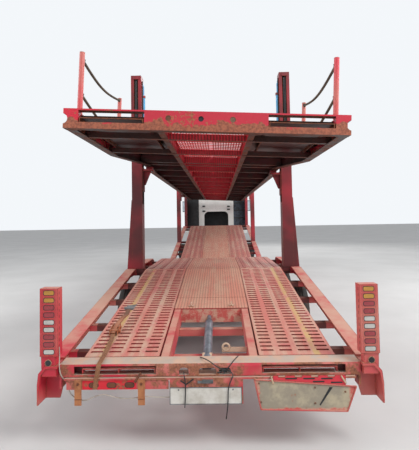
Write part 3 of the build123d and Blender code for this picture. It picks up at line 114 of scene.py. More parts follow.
# Thin wires at the rear beam. Columns: name, finish, far end, points as (X, station, height)
wire_table = (
    ("wire_left", "plastic", "bare",
     ((-0.186, 0.030, 0.580), (-0.184, 0.010, 0.562), (-0.174, 0.006, 0.520), (-0.172, 0.007, 0.440),
      (-0.180, 0.007, 0.330))),
    ("wire_right", "plastic", "bare",
     ((0.150, 0.032, 0.588), (0.186, 0.012, 0.566), (0.162, 0.006, 0.524), (0.140, 0.006, 0.470),
      (0.139, 0.007, 0.390), (0.132, 0.008, 0.310), (0.122, 0.010, 0.245))),
    ("wire_below", "pale_wire", "object",
     ((-1.044, 0.034, 0.452), (-1.030, 0.036, 0.410), (-0.933, 0.038, 0.366), (-0.860, 0.038, 0.402),
      (-0.781, 0.037, 0.422), (-0.700, 0.036, 0.394), (-0.586, 0.036, 0.384), (-0.458, 0.036, 0.404),
      (-0.375, 0.036, 0.392), (-0.280, 0.036, 0.396))),
    ("wire_column", "pale_wire", "object",
     ((-1.113, 0.024, 0.775), (-1.106, 0.014, 0.705), (-1.110, 0.012, 0.630), (-1.100, 0.020, 0.560),
      (-1.085, 0.044, 0.530))),
    ("wire_bay", "plastic", "bare",
     ((0.104, 0.036, 0.590), (0.060, 0.024, 0.615), (0.010, 0.030, 0.654), (-0.050, 0.080, 0.668),
      (-0.085, 0.180, 0.640))),
    ("wire_bay_right", "plastic", "bare",
     ((0.132, 0.034, 0.590), (0.150, 0.022, 0.616), (0.176, 0.024, 0.650), (0.204, 0.060, 0.668),
      (0.222, 0.120, 0.662))),
)
wire_thickness = 0.008

# Wheels. A size is the outer radius, half the width and the radius of the bead
trailer_size = (0.420, 0.1375, 0.248)
tractor_size = (0.448, 0.145, 0.286)
# columns: tyre node without its side, station, size, centres of its tyres
tyre_table = (
    ("trailer_tyre_1", 2.75, trailer_size, (1.118,)),
    ("trailer_tyre_2", 4.05, trailer_size, (1.118,)),
    ("steer_tyre", 14.85, tractor_size, (1.045,)),
    ("drive_tyres", 11.15, tractor_size, (1.09, 0.775)),
)
# columns: rim node without its side, station, size, X of the outer tyre, of the disc's face and of the
# hub's end, radius of the nut circle
rim_table = (
    ("trailer_rim_1", 2.75, trailer_size, 1.118, 1.1515, 1.1875, 0.115),
    ("trailer_rim_2", 4.05, trailer_size, 1.118, 1.1515, 1.1875, 0.115),
    ("steer_rim", 14.85, tractor_size, 1.045, 1.086, 1.122, 0.122),
    ("drive_rims", 11.15, tractor_size, 1.09, 1.063, 1.150, 0.122),
)
side_names = {-1: "left", 1: "right"}


def srgb(code):
    """A colour written as six hexadecimal digits, as linear light."""
    values = [int(code[i:i + 2], 16) / 255 for i in (0, 2, 4)]
    return tuple(v / 12.92 if v <= 0.04045 else ((v + 0.055) / 1.055) ** 2.4 for v in values)


def spot(x, station, height):
    """A point given by its X, station and height."""
    return Vector((x, station - rear_station, height))


def colour_property(name, description, code):
    return bpy.props.FloatVectorProperty(name=name, description=description, subtype="COLOR", size=3,
                                         min=0.0, max=1.0, default=srgb(code))


def length_property(name, description, metres):
    return bpy.props.FloatProperty(name=name, description=description, unit="LENGTH", min=0.0, default=metres)


def deck_height(station):
    """Height of the lower deck's surface at a station."""
    for (s0, z0), (s1, z1) in zip(deck_line, deck_line[1:]):
        if s0 <= station <= s1:
            return z0 + (z1 - z0) * (station - s0) / (s1 - s0)
    raise ValueError(f"No deck at station {station}")


def rolled(x, station, height):
    """A point of the upper deck, given as if the deck hung level."""
    lift = height - roll_height
    across = x * math.cos(roll_angle) + lift * math.sin(roll_angle)
    up = lift * math.cos(roll_angle) - x * math.sin(roll_angle)
    return spot(across, station, roll_height + up)


class TransporterColours(bpy.types.PropertyGroup):
    """Colours of the paints and of what lies on them."""

    red: colour_property("Red", "Sound red paint", "C02A3C")
    deep_red: colour_property("Deep red", "Red paint in old, dull places", "7E1E26")
    pink: colour_property("Faded red", "Red paint bleached by the sun", "C77468")
    dust: colour_property("Dust", "Dry dust on what faces up", "C9A690")
    mud: colour_property("Mud", "Road dirt thrown up by the wheels", "6E5F52")
    rust: colour_property("Rust", "Fresh orange rust", "A35A34")
    dark_rust: colour_property("Dark rust", "Old brown rust", "5A3423")
    bare: colour_property("Bare steel", "Steel rubbed bare", "A89E96")
    yellow: colour_property("Yellow", "Old stripe on the rear tracks", "C9A86A")
    white: colour_property("White", "Cab paint", "F0F0EC")
    cream: colour_property("Cream", "Paint of lugs, rods and rims", "C6B594")
    grey: colour_property("Chassis grey", "Paint of the tractor chassis", "3B3D40")
    blue: colour_property("Cylinder blue", "Paint of the lift cylinders", "4FA0CC")
    # painted shade: the blue-grey of the right air deflector's inner face in shade
    shaded_deflector: colour_property("Slate", "Right air deflector", "3A4654")
    black: colour_property("Black", "Moulded black plastic", "17181A")
    rubber: colour_property("Rubber", "Tyre rubber", "242322")
    rope: colour_property("Rope", "Weathered rope", "6C6150")
    amber: colour_property("Amber", "Amber lamp window", "C8913A")
    ruby: colour_property("Ruby", "Red lamp window", "A63A42")


class TransporterSizes(bpy.types.PropertyGroup):
    """Sizes of the small things that are added to the frame."""

    rope_thickness: length_property("Rope thickness", "Thickness of the side ropes", 0.026)
    groove_depth: length_property("Groove depth", "Depth of the grooves round each tyre", 0.009)
    nut_size: length_property("Nut size", "Width of a wheel nut across its corners", 0.038)
    hose_thickness: length_property("Hose thickness", "Thickness of the hydraulic hoses", 0.018)


class Level:
    """A number that changes over a surface and can be used in plain arithmetic."""

    def __init__(self, tree, socket):
        self.tree = tree
        self.socket = socket

    def math(self, operation, first, second=0.0):
        node = self.tree.nodes.new("ShaderNodeMath")
        node.operation = operation
        for socket, value in zip(node.inputs, (first, second)):
            if isinstance(value, Level):
                self.tree.links.new(value.socket, socket)
            else:
                socket.default_value = value
        return Level(self.tree, node.outputs[0])

    def __add__(self, other):
        return self.math("ADD", self, other)

    def __radd__(self, other):
        return self.math("ADD", other, self)

    def __sub__(self, other):
        return self.math("SUBTRACT", self, other)

    def __rsub__(self, other):
        return self.math("SUBTRACT", other, self)

    def __mul__(self, other):
        return self.math("MULTIPLY", self, other)

    def __rmul__(self, other):
        return self.math("MULTIPLY", other, self)

    def __mod__(self, other):
        return self.math("FLOORED_MODULO", self, other)

    def __abs__(self):
        return self.math("ABSOLUTE", self)


class Finish:
    """One material while it is put together."""

    def __init__(self, name):
        self.material = bpy.data.materials.new(name)
        self.material.use_nodes = True
        self.tree = self.material.node_tree
        self.tree.nodes.clear()
        self.place = self.node("ShaderNodeTexCoord").outputs["Object"]

    def node(self, kind, settings=None, sockets=None):
        """Adds a node: its settings first, then the values or links of its sockets."""
        made = self.tree.nodes.new(kind)
        for name, value in (settings or {}).items():
            setattr(made, name, value)
        for name, value in (sockets or {}).items():
            socket = made.inputs[name]
            if isinstance(value, Level):
                self.tree.links.new(value.socket, socket)
            elif isinstance(value, bpy.types.NodeSocket):
                self.tree.links.new(value, socket)
            else:
                socket.default_value = value
        return made

    def level(self, socket):
        return Level(self.tree, socket)

    def noise(self, scale, detail=3.0, roughness=0.55, stretch=(1.0, 1.0, 1.0)):
        """Cloudy noise, drawn out along an axis where its stretch is small."""
        placed = self.node("ShaderNodeMapping", None, {"Vector": self.place, "Scale": stretch}).outputs[0]
        made = self.node("ShaderNodeTexNoise", None,
                         {"Vector": placed, "Scale": scale, "Detail": detail, "Roughness": roughness})
        return self.level(made.outputs[0])

    def smooth(self, level, low, high, start=0.0, end=1.0):
        """A soft step of a level from low to high."""
        made = self.node("ShaderNodeMapRange", {"interpolation_type": "SMOOTHSTEP"},
                         {"Value": level, "From Min": low, "From Max": high, "To Min": start, "To Max": end})
        return self.level(made.outputs[0])

    def axis(self, letter):
        made = self.node("ShaderNodeSeparateXYZ", None, {"Vector": self.place})
        return self.level(made.outputs[letter])

    def facing(self, letter):
        normal = self.node("ShaderNodeNewGeometry").outputs["Normal"]
        made = self.node("ShaderNodeSeparateXYZ", None, {"Vector": normal})
        return self.level(made.outputs[letter])

    def span(self, level, low, high, soft=0.002):
        """One where a level lies between two bounds."""
        return self.smooth(level, low - soft, low) * self.smooth(level, high + soft, high)

    def edges(self, reach):
        """One at sharp edges, nought on flat faces."""
        normal = self.node("ShaderNodeNewGeometry").outputs["Normal"]
        rounded = self.node("ShaderNodeBevel", {"samples": 4}, {"Radius": reach}).outputs[0]
        dot = self.node("ShaderNodeVectorMath", {"operation": "DOT_PRODUCT"}, {0: normal, 1: rounded})
        return self.smooth(1.0 - self.level(dot.outputs["Value"]), 0.02, 0.22)

    def mix(self, mask, first, second):
        """The first colour where the mask is nought, the second where it is one."""
        made = self.node("ShaderNodeMix", {"data_type": "RGBA"}, {0: mask})
        for place, value in ((6, first), (7, second)):
            if isinstance(value, bpy.types.NodeSocket):
                self.tree.links.new(value, made.inputs[place])
            else:
                made.inputs[place].default_value = (*value, 1.0)
        return made.outputs[2]

    def bump(self, height, strength, distance):
        return self.node("ShaderNodeBump", None,
                         {"Height": height, "Strength": strength, "Distance": distance}).outputs[0]

    def close(self, colour, roughness, metallic=0.0, normal=None, constants=None, alpha=None):
        """Joins the colour and the rest to the surface shader."""
        sockets = {"Base Color": colour if isinstance(colour, bpy.types.NodeSocket) else (*colour, 1.0),
                   "Roughness": roughness, "Metallic": metallic}
        sockets.update(constants or {})
        if normal is not None:
            sockets["Normal"] = normal
        if alpha is not None:
            sockets["Alpha"] = alpha
        shader = self.node("ShaderNodeBsdfPrincipled", None, sockets)
        self.node("ShaderNodeOutputMaterial", None, {"Surface": shader.outputs[0]})
        return self.material


def worn_paint(name, paint, old_paint, dust_share=0.5, rust_share=0.35, gloss=0.42, edge_reach=0.010,
               under=None, dim=None):
    """Paint with faded clouds, rust from the edges and dust on what faces up.

    under colours what faces down with painted shade; dim is a pair of X distances between which the paint is
    darkened as painted shade."""
    c = bpy.context.scene.transporter_colours
    look = Finish(name)
    cloud = look.noise(1.3, 3.0)
    patch = look.noise(5.5, 6.0, 0.65)
    speck = look.noise(42.0, 5.0, 0.7)
    edge = look.edges(edge_reach)
    up = look.smooth(look.facing("Z"), 0.35, 0.85)
    painted = look.mix(look.smooth(cloud, 0.35, 0.65), old_paint, paint)
    painted = look.mix(look.smooth(speck, 0.52, 0.75) * 0.25, painted, old_paint)
    dusty = look.mix(up * look.smooth(patch * 0.6 + cloud * 0.4, 0.30, 0.62) * dust_share, painted, c.dust)
    # downward faces take the under colour: painted shade
    if under:
        dusty = look.mix(look.smooth(look.facing("Z"), -0.25, -0.7), dusty, under)
    # dark brown between the two X distances of dim: painted shade
    if dim:
        dusty = look.mix(look.span(abs(look.axis("X")), *dim) * 0.85, dusty, srgb("3A2320"))
    rust_at = patch * 0.55 + speck * 0.25 + edge * 0.35 + rust_share * 0.3
    rusty = look.smooth(rust_at, 0.62, 0.72)
    rust = look.mix(look.smooth(speck, 0.4, 0.62), c.dark_rust, c.rust)
    colour = look.mix(rusty, dusty, rust)
    rough = look.smooth(rusty + up * dust_share, 0.0, 1.0, gloss, 0.88)
    normal = look.bump(speck * 0.5 + rusty * patch, 0.35, 0.002)
    return look.close(colour, rough, 0.0, normal)


def beam_paint(name):
    """Rear beam: grey dust on top, rust and bright patches on its face, orange hangers, red lower bar."""
    c = bpy.context.scene.transporter_colours
    look = Finish(name)
    cloud = look.noise(2.4, 3.0)
    patch = look.noise(9.0, 6.0, 0.65)
    speck = look.noise(60.0, 5.0, 0.7)
    height = look.axis("Z")
    across = look.axis("X")
    up = look.smooth(look.facing("Z"), 0.4, 0.85)
    rust = look.mix(look.smooth(speck, 0.35, 0.62), srgb("754636"), srgb("A2664A"))
    paint = look.mix(look.smooth(cloud, 0.35, 0.65), c.pink, c.red)
    face = look.mix(look.smooth(patch * 0.7 + cloud * 0.3, 0.46, 0.54), rust, paint)
    bar = look.span(height, 0.450, 0.524) * look.span(across, -0.94, -0.54)
    face = look.mix(bar * look.smooth(patch, 0.34, 0.42), face, srgb("D4202E"))
    hangers = look.span(across, -1.000, -0.946) + look.span(across, -0.528, -0.474)
    orange = look.mix(look.smooth(patch, 0.4, 0.6), srgb("9A5E3E"), srgb("B47448"))
    face = look.mix(hangers * look.smooth(height, 0.534, 0.530), face, orange)
    top = look.mix(look.smooth(patch, 0.42, 0.58), c.dust, srgb("B8A596"))
    colour = look.mix(up, face, top)
    normal = look.bump(speck * 0.5 + patch, 0.35, 0.002)
    return look.close(colour, look.smooth(patch, 0.4, 0.6, 0.82, 0.5), 0.0, normal)


def upper_paint(name):
    """Upper deck: bright face with a rusty lower band, painted shade in dark maroon inside and in brown on
    the outer flange and every other downward face.
    """
    c = bpy.context.scene.transporter_colours
    look = Finish(name)
    cloud = look.noise(1.5, 3.0)
    patch = look.noise(7.0, 6.0, 0.65)
    speck = look.noise(50.0, 5.0, 0.7)
    across = look.axis("X")
    reach = abs(across)
    beam = upper_beam_front - rear_station
    lift = (look.axis("Z") - roll_height) * math.cos(roll_angle) + across * math.sin(roll_angle)
    up = look.smooth(look.facing("Z"), 0.4, 0.85)
    down = look.smooth(look.facing("Z"), -0.3, -0.7)
    rust = look.mix(look.smooth(speck, 0.35, 0.62), srgb("7C4331"), srgb("A86045"))
    bright = look.mix(look.smooth(cloud, 0.35, 0.65), srgb("D02238"), c.red)
    band = look.smooth(lift + patch * 0.34, 0.158, 0.146)
    spots = look.smooth(patch * 0.65 + speck * 0.35, 0.55, 0.58)
    face = look.mix(look.smooth(band + spots, 0.2, 0.8), bright, rust)
    # painted shade: dark maroon on the faces inside the side beams, forward of the rear beam
    inside = look.smooth(reach, upper_inside_half + 0.010, upper_inside_half)
    inside = inside * look.smooth(look.axis("Y"), beam, beam + 0.01)
    inside_shade = look.mix(look.smooth(patch, 0.42, 0.62), srgb("1C0909"), srgb("331210"))
    # within the mesh's reach the painted shade gives way to red with dark stripes, painted shade in the gaps
    # between the grating's teeth
    tooth_gap_stripes = look.smooth(abs(across % stud_pitch - stud_pitch / 2), 0.0055, 0.0085)
    red_with_gap_shade = look.mix(tooth_gap_stripes * 0.75, srgb("B41C30"), srgb("4A0F14"))
    inside_shade = look.mix(look.smooth(reach, upper_mesh_reach + 0.005, upper_mesh_reach), inside_shade, red_with_gap_shade)
    face = look.mix(inside * 0.92, face, inside_shade)
    # brown on every downward face: painted shade
    underside_shade = look.mix(look.smooth(patch, 0.4, 0.6), srgb("33190F"), srgb("6A3D2A"))
    face = look.mix(down, face, underside_shade)
    colour = look.mix(up * look.smooth(patch, 0.3, 0.6) * 0.7, face, c.dust)
    normal = look.bump(speck * 0.5 + patch, 0.3, 0.002)
    return look.close(colour, look.smooth(patch, 0.4, 0.65, 0.45, 0.8), 0.0, normal)


def cylinder_paint(name):
    """Lift cylinders: light blue above the deck, grey and dirty in the rear bay."""
    c = bpy.context.scene.transporter_colours
    look = Finish(name)
    cloud = look.noise(8.0, 5.0, 0.6)
    high = look.smooth(look.axis("Z"), 1.5, 1.6)
    grey = look.mix(look.smooth(cloud, 0.35, 0.7), srgb("7C828B"), srgb("4C4F56"))
    blue = look.mix(look.smooth(cloud, 0.5, 0.75), c.blue, srgb("6E8FA0"))
    return look.close(look.mix(high, grey, blue), look.smooth(cloud, 0.3, 0.7, 0.32, 0.55), 0.25,
                      look.bump(cloud, 0.2, 0.001))


def flap_paint(name):
    """Tail flap: dull grey-beige, red and rust creeping in from its edges."""
    c = bpy.context.scene.transporter_colours
    look = Finish(name)
    cloud = look.noise(4.0, 4.0)
    patch = look.noise(16.0, 6.0, 0.7)
    across = look.axis("X")
    low_edge = look.smooth(look.axis("Z") + patch * 0.05, 0.352, 0.328)
    left_edge = look.smooth(across + patch * 0.05, 0.412, 0.384)
    right_edge = look.smooth(across + patch * 0.08, 1.045, 1.085)
    face = look.mix(look.smooth(cloud * 0.6 + patch * 0.4, 0.40, 0.60), srgb("B3A68C"), srgb("978D7C"))
    edge = look.mix(look.smooth(patch, 0.42, 0.58), srgb("C0564E"), srgb("C79C86"))
    colour = look.mix(look.smooth(low_edge + left_edge + right_edge, 0.1, 0.9), face, edge)
    speckled = look.smooth(patch, 0.64, 0.70)
    colour = look.mix(speckled * 0.8, colour, c.rust)
    return look.close(colour, look.smooth(patch, 0.3, 0.7, 0.55, 0.85), 0.0, look.bump(patch, 0.3, 0.0015))


def deck_paint(name, stripe=False, studs=False):
    """Walked-on deck plates: bleached red, dust, lengthwise rubbing and rust round the slots.

    stripe adds the yellow lines of the rear tracks; studs adds ribs, the paler centre plate and its studs."""
    c = bpy.context.scene.transporter_colours
    look = Finish(name)
    cloud = look.noise(1.1, 4.0)
    streak = look.noise(1.0, 5.0, 0.6, (16.0, 0.9, 1.0))
    patch = look.noise(7.0, 6.0, 0.7)
    speck = look.noise(55.0, 4.0, 0.7)
    edge = look.edges(0.008)
    up = look.smooth(look.facing("Z"), 0.3, 0.8)
    worn = look.mix(look.smooth(streak * 0.6 + cloud * 0.4, 0.38, 0.62), c.pink, c.dust)
    kept = look.smooth(patch * 0.7 + cloud * 0.3, 0.50, 0.66)
    painted = look.mix(kept * 0.7, worn, srgb("BE4656"))
    plate_edges = look.mix(look.smooth(cloud, 0.4, 0.6), c.deep_red, c.red)
    colour = look.mix(up, plate_edges, painted)
    reach = abs(look.axis("X"))
    if stripe:
        band = look.span(reach, *stripe_reach, soft=0.007)
        colour = look.mix(band * look.smooth(patch, 0.35, 0.55) * up * 0.8, colour, c.yellow)
    if studs:
        ribs = look.smooth(abs(reach % rib_pitch - rib_pitch / 2), 0.030, 0.042)
        ribs = ribs * look.smooth(reach, centre_plate_half, centre_plate_half + 0.004)
        colour = look.mix(ribs * up * 0.55, colour, srgb("B2605A"))
        centre = look.smooth(reach, centre_plate_half, centre_plate_half - 0.004)
        colour = look.mix(centre * up * 0.45, colour, srgb("D0967A"))
        across = abs(look.axis("X") % stud_pitch - stud_pitch / 2)
        along = abs(look.axis("Y") % stud_pitch - stud_pitch / 2)
        dots = look.smooth(across * across + along * along, 0.000040, 0.000025)
        colour = look.mix(dots * up, colour, c.dark_rust)
    rusty = look.smooth(patch * 0.5 + speck * 0.3 + edge * 0.45, 0.60, 0.74)
    rust = look.mix(look.smooth(speck, 0.4, 0.62), c.dark_rust, c.rust)
    colour = look.mix(rusty, colour, rust)
    normal = look.bump(speck * 0.6 + streak * 0.4, 0.4, 0.0015)
    return look.close(colour, look.smooth(rusty + speck, 0.3, 1.2, 0.62, 0.92), 0.0, normal)


def steel_like(name, base, dark, roughness, metallic, dirt, scale=9.0):
    """Metal or plastic with cloudy dirt and fine scratches."""
    c = bpy.context.scene.transporter_colours
    look = Finish(name)
    cloud = look.noise(scale, 5.0, 0.6)
    fine = look.noise(scale * 14.0, 3.0, 0.6, (1.0, 0.15, 1.0))
    up = look.smooth(look.facing("Z"), 0.4, 0.9)
    colour = look.mix(look.smooth(cloud, 0.35, 0.7), base, dark)
    grime = look.smooth(cloud * 0.6 + fine * 0.25 + up * 0.3, 0.75 - dirt * 0.45, 1.0 - dirt * 0.3)
    colour = look.mix(grime, colour, c.mud)
    rough = look.smooth(fine + grime, 0.2, 1.4, roughness, min(1.0, roughness + 0.35))
    normal = look.bump(fine, 0.15, 0.0006)
    return look.close(colour, rough, metallic, normal)


def rubber(name):
    """Road tyre rubber with grey dust in its grain."""
    c = bpy.context.scene.transporter_colours
    look = Finish(name)
    cloud = look.noise(6.0, 5.0, 0.6)
    fine = look.noise(160.0, 2.0, 0.5)
    colour = look.mix(look.smooth(cloud, 0.4, 0.75) * 0.55, c.rubber, c.mud)
    normal = look.bump(fine, 0.3, 0.0006)
    return look.close(colour, look.smooth(cloud, 0.3, 0.7, 0.72, 0.92), 0.0, normal)


def lens(name, colour):
    """Moulded lamp window with a ribbed inside."""
    look = Finish(name)
    rib = abs(look.axis("X") % 0.006 - 0.003)
    cloud = look.noise(20.0, 3.0)
    darker = tuple(v * 0.45 for v in colour)
    ribbed = look.smooth(rib, 0.0006, 0.0022) * 0.5 + look.smooth(cloud, 0.4, 0.7) * 0.2
    shade = look.mix(ribbed, colour, darker)
    normal = look.bump(rib, 0.4, 0.001)
    return look.close(shade, look.smooth(cloud, 0.3, 0.7, 0.16, 0.34), 0.0, normal, {"Coat Weight": 0.4})


def glass(name, tint, alpha):
    """Thin window glass with dust in its corners."""
    look = Finish(name)
    cloud = look.noise(3.0, 4.0)
    colour = look.mix(look.smooth(cloud, 0.5, 0.8) * 0.3, tint, (0.35, 0.33, 0.30))
    clear = look.smooth(cloud, 0.45, 0.85, alpha, min(1.0, alpha + 0.2))
    return look.close(colour, look.smooth(cloud, 0.4, 0.8, 0.05, 0.3), 0.0, None, {"IOR": 1.5}, clear)


def cloth(name, base, dark):
    """Woven seat fabric."""
    look = Finish(name)
    weave = look.noise(220.0, 2.0, 0.5, (1.0, 0.3, 1.0))
    cloud = look.noise(5.0, 3.0)
    colour = look.mix(look.smooth(weave, 0.35, 0.65) * 0.6 + look.smooth(cloud, 0.4, 0.7) * 0.3, base, dark)
    return look.close(colour, look.smooth(weave, 0.3, 0.7, 0.82, 0.96), 0.0, look.bump(weave, 0.4, 0.001))


def make_finishes():
    """Makes every finish of the transporter."""
    c = bpy.context.scene.transporter_colours
    # the frame darkens between each rail and track: painted shade
    worn_paint("frame_red", c.pink, c.red, 0.75, 0.45, dim=rail_gap_shade_reach)
    beam_paint("beam_red")
    # the posts get painted shade on their downward faces
    worn_paint("post_red", srgb("9E2430"), srgb("561A1D"), 0.35, 0.4, under=srgb("3A1214"))
    worn_paint("lamp_red", c.pink, c.red, 0.7, 0.3)
    upper_paint("upper_red")
    # the stowed ramps and upper tracks get painted shade on their downward faces
    worn_paint("stowed_ramps", srgb("70412C"), srgb("472519"), 0.6, 0.4, under=srgb("34120F"))
    worn_paint("upper_maroon", srgb("3E1214"), srgb("2A0F0D"), 0.6, 0.3, under=srgb("160607"))
    worn_paint("mesh_red", srgb("E0283E"), srgb("C8242F"), 0.3, 0.0)
    deck_paint("tracks", stripe=True)
    deck_paint("plates", studs=True)
    deck_paint("ramps")
    worn_paint("cream", c.cream, c.dust, 0.5, 0.45)
    flap_paint("flap")
    worn_paint("stanchion", srgb("D4404C"), c.pink, 0.3, 0.3)
    steel_like("pale_wire", srgb("B9AFA2"), srgb("8C8378"), 0.6, 0.0, 0.3)
    worn_paint("plug", srgb("7A6A58"), c.dark_rust, 0.2, 0.45)
    worn_paint("white", c.white, srgb("DDDDD8"), 0.25, 0.0, 0.3, 0.004)
    worn_paint("chassis", c.grey, c.black, 0.6, 0.35, 0.6)
    steel_like("steel", c.bare, c.dark_rust, 0.45, 0.7, 0.5)
    cylinder_paint("cylinder")
    steel_like("aluminium", srgb("B9BCBE"), srgb("8F9294"), 0.3, 0.9, 0.35)
    steel_like("rim", srgb("9C9C98"), srgb("6F6C68"), 0.45, 0.35, 0.6)
    steel_like("plastic", c.black, tuple(v * 2.4 for v in c.black), 0.5, 0.0, 0.3)
    # the right air deflector's painted shade
    steel_like("shaded_deflector", c.shaded_deflector, c.black, 0.4, 0.0, 0.3)
    steel_like("engine", srgb("54524E"), srgb("3A3733"), 0.6, 0.4, 0.55)
    steel_like("plate", srgb("D8D4CC"), srgb("B9B2A6"), 0.45, 0.0, 0.35)
    rubber("rubber")
    lens("amber", c.amber)
    lens("ruby", c.ruby)
    lens("clear", srgb("CFCBC4"))
    lens("headlamp", srgb("D9DDE0"))
    glass("glass", srgb("2A3438"), 0.45)
    cloth("fabric", srgb("33373D"), srgb("1E2024"))
    cloth("rope", c.rope, srgb("2B2522"))
    cloth("strap", srgb("9C6A4A"), srgb("6A4632"))
    worn_paint("rusty", c.rust, c.dark_rust, 0.3, 0.6, 0.75)
    worn_paint("guard_red", srgb("D2303E"), c.red, 0.2, 0.3)
    steel_like("grey_plastic", srgb("77797A"), srgb("4A4B4D"), 0.5, 0.1, 0.35)
    steel_like("mirror", srgb("C9D2D8"), srgb("A9B4BC"), 0.04, 1.0, 0.05)


# The nodes that carry each finish; tyres and rims are told by their names
nodes_of_finish = {
    "frame_red": ("trailer_frame",),
    "tracks": ("rear_tracks",),
    "plates": ("deck_plates",),
    "beam_red": ("rear_beam",),
    "plate": ("number_plate",),
    "flap": ("tail_flap",),
    "lamp_red": ("lamp_columns",),
    "post_red": ("deck_posts", "middle_carriages", "rear_carriages"),
    "cylinder": ("hydraulic_cylinders",),
    "chassis": ("trailer_axles", "landing_legs", "kingpin_plate", "tractor_frame", "tractor_axles",
                "knuckle_left", "knuckle_right"),
    "ramps": ("ramp_left", "ramp_right"),
    "upper_red": ("upper_frame",),
    "upper_maroon": ("upper_tracks",),
    "mesh_red": ("upper_mesh",),
    "stowed_ramps": ("upper_ramps",),
    "stanchion": ("stanchions",),
    "steel": ("fifth_wheel",),
    "aluminium": ("side_tanks",),
    "plastic": ("mudguards", "step_boxes", "side_fairings", "mirrors", "dashboard"),
    "white": ("bumper", "cab_shell", "front_panel", "door_left", "door_right"),
    "headlamp": ("headlamps",),
    "engine": ("engine",),
    "glass": ("windscreen", "door_glass_left", "door_glass_right"),
    "fabric": ("seats",),
}


def finish_for_node(name):
    """The finish of a CAD node, or None where it keeps its own."""
    for finish, nodes in nodes_of_finish.items():
        if name in nodes:
            return finish
    if "tyre" in name:
        return "rubber"
    if "rim" in name:
        return "rim"
    return None


def finish_of(name):
    """The material that was made under a finish's name."""
    return bpy.data.materials[name]


def body_of(node):
    """The body that carries a CAD node."""
    for body, carried in frame["record"]["behaviour"]["bodies"].items():
        if node in carried:
            return body
    raise RuntimeError(f"No body carries {node}")


def corners_of(node):
    """The lowest and the highest corner of a CAD node's box."""
    return tuple(Vector(corner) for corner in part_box(node))


def made_items(made, kind):
    """The items of one kind among what a bmesh operator made."""
    return [item for item in made["geom"] if isinstance(item, kind)]


def add_box(bm, low, high):
    """A box between two corners."""
    size = high - low
    place = Matrix.Translation((low + high) / 2) @ Matrix.Diagonal((*size, 1.0))
    return bmesh.ops.create_cube(bm, size=1.0, matrix=place)["verts"]


def add_rod(bm, start, end, radius, segments=12, tip=None):
    """A round bar between two points, tapered where a tip radius is given."""
    way = end - start
    place = Matrix.Translation((start + end) / 2) @ way.to_track_quat("Z", "Y").to_matrix().to_4x4()
    return bmesh.ops.create_cone(bm, cap_ends=True, segments=segments, radius1=radius,
                                 radius2=radius if tip is None else tip, depth=way.length,
                                 matrix=place)["verts"]


def add_rounded_box(bm, low, high, radius, along, segments=3, index=0):
    """A box whose four edges along one axis are rounded, all with one material index."""
    verts = add_box(bm, low, high)
    others = [axis for axis in range(3) if axis != along]
    edges = []
    for edge in {edge for vert in verts for edge in vert.link_edges}:
        a, b = (vert.co for vert in edge.verts)
        if all(abs(a[axis] - b[axis]) < 1e-6 for axis in others):
            edges.append(edge)
    faces = {face for vert in verts for face in vert.link_faces}
    for face in faces:
        face.material_index = index
    bmesh.ops.bevel(bm, geom=edges, offset=radius, segments=segments, profile=0.5, affect="EDGES",
                    material=-1)


def add_ring(bm, centre, axis, radius, thickness, steps=16):
    """A round ring about an axis."""
    across = axis.orthogonal().normalized()
    turn = axis.cross(across).to_track_quat("Z", "Y").to_matrix().to_4x4()
    place = Matrix.Translation(centre + across * radius) @ turn
    verts = bmesh.ops.create_circle(bm, segments=8, radius=thickness / 2, matrix=place)["verts"]
    edges = list({edge for vert in verts for edge in vert.link_edges})
    bmesh.ops.spin(bm, geom=verts + edges, cent=centre, axis=axis, angle=2 * math.pi, steps=steps,
                   use_merge=True)


def add_plate(bm, points, thickness, index=0):
    """A flat plate with the given corners, thickened away from the side that it winds round."""
    face = bm.faces.new([bm.verts.new(point) for point in points])
    face.normal_update()
    face.material_index = index
    away = -face.normal * thickness
    made = bmesh.ops.extrude_face_region(bm, geom=[face], use_keep_orig=True)
    bmesh.ops.translate(bm, verts=made_items(made, bmesh.types.BMVert), vec=away)


def add_ribbon(bm, points, across, thickness):
    """A flat band that follows points; across is half its width as a vector."""
    sections = []
    for before, point, after in zip(points[:1] + points, points, points[1:] + points[-1:]):
        normal = across.cross(after - before).normalized() * thickness
        sections.append((point - across, point + across, point + across + normal, point - across + normal))
    face = bm.faces.new([bm.verts.new(corner) for corner in sections[0]])
    for section in sections[1:]:
        # given with its edges, a face that borders on others goes; the first one stays as the band's end
        made = bmesh.ops.extrude_face_region(bm, geom=[face, *face.edges])
        face = made_items(made, bmesh.types.BMFace)[0]
        for vert, corner in zip(face.verts, section):
            vert.co = corner


def lay_cord(name, points, thickness, finish, body):
    """A free rope or wire along one smooth spline."""
    curve = bpy.data.curves.new(name, "CURVE")
    curve.dimensions = "3D"
    curve.bevel_depth = thickness / 2
    curve.bevel_resolution = 3
    curve.use_fill_caps = True
    spline = curve.splines.new("NURBS")
    spline.points.add(len(points) - 1)
    for target, point in zip(spline.points, points):
        target.co = (*point, 1.0)
    spline.order_u = 3
    spline.use_endpoint_u = True
    spline.resolution_u = 8
    curve.materials.append(finish_of(finish))
    piece = bpy.data.objects.new(name, curve)
    bpy.context.scene.collection.objects.link(piece)
    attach(piece, body)


def finish_piece(name, bm, body, finishes, smooth=math.radians(35), bevel=0.0):
    """Turns a finished bmesh into an object that rides on a body."""
    bmesh.ops.recalc_face_normals(bm, faces=bm.faces)
    mesh = bpy.data.meshes.new(name)
    bm.to_mesh(mesh)
    bm.free()
    for finish in finishes:
        mesh.materials.append(finish_of(finish))
    mesh.shade_smooth()
    mesh.set_sharp_from_angle(angle=smooth)
    piece = bpy.data.objects.new(name, mesh)
    bpy.context.scene.collection.objects.link(piece)
    if bevel:
        rounding = piece.modifiers.new("Rounded edges", "BEVEL")
        rounding.width = bevel
        rounding.segments = 2
        rounding.limit_method = "ANGLE"
        rounding.harden_normals = False
    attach(piece, body)
    return piece


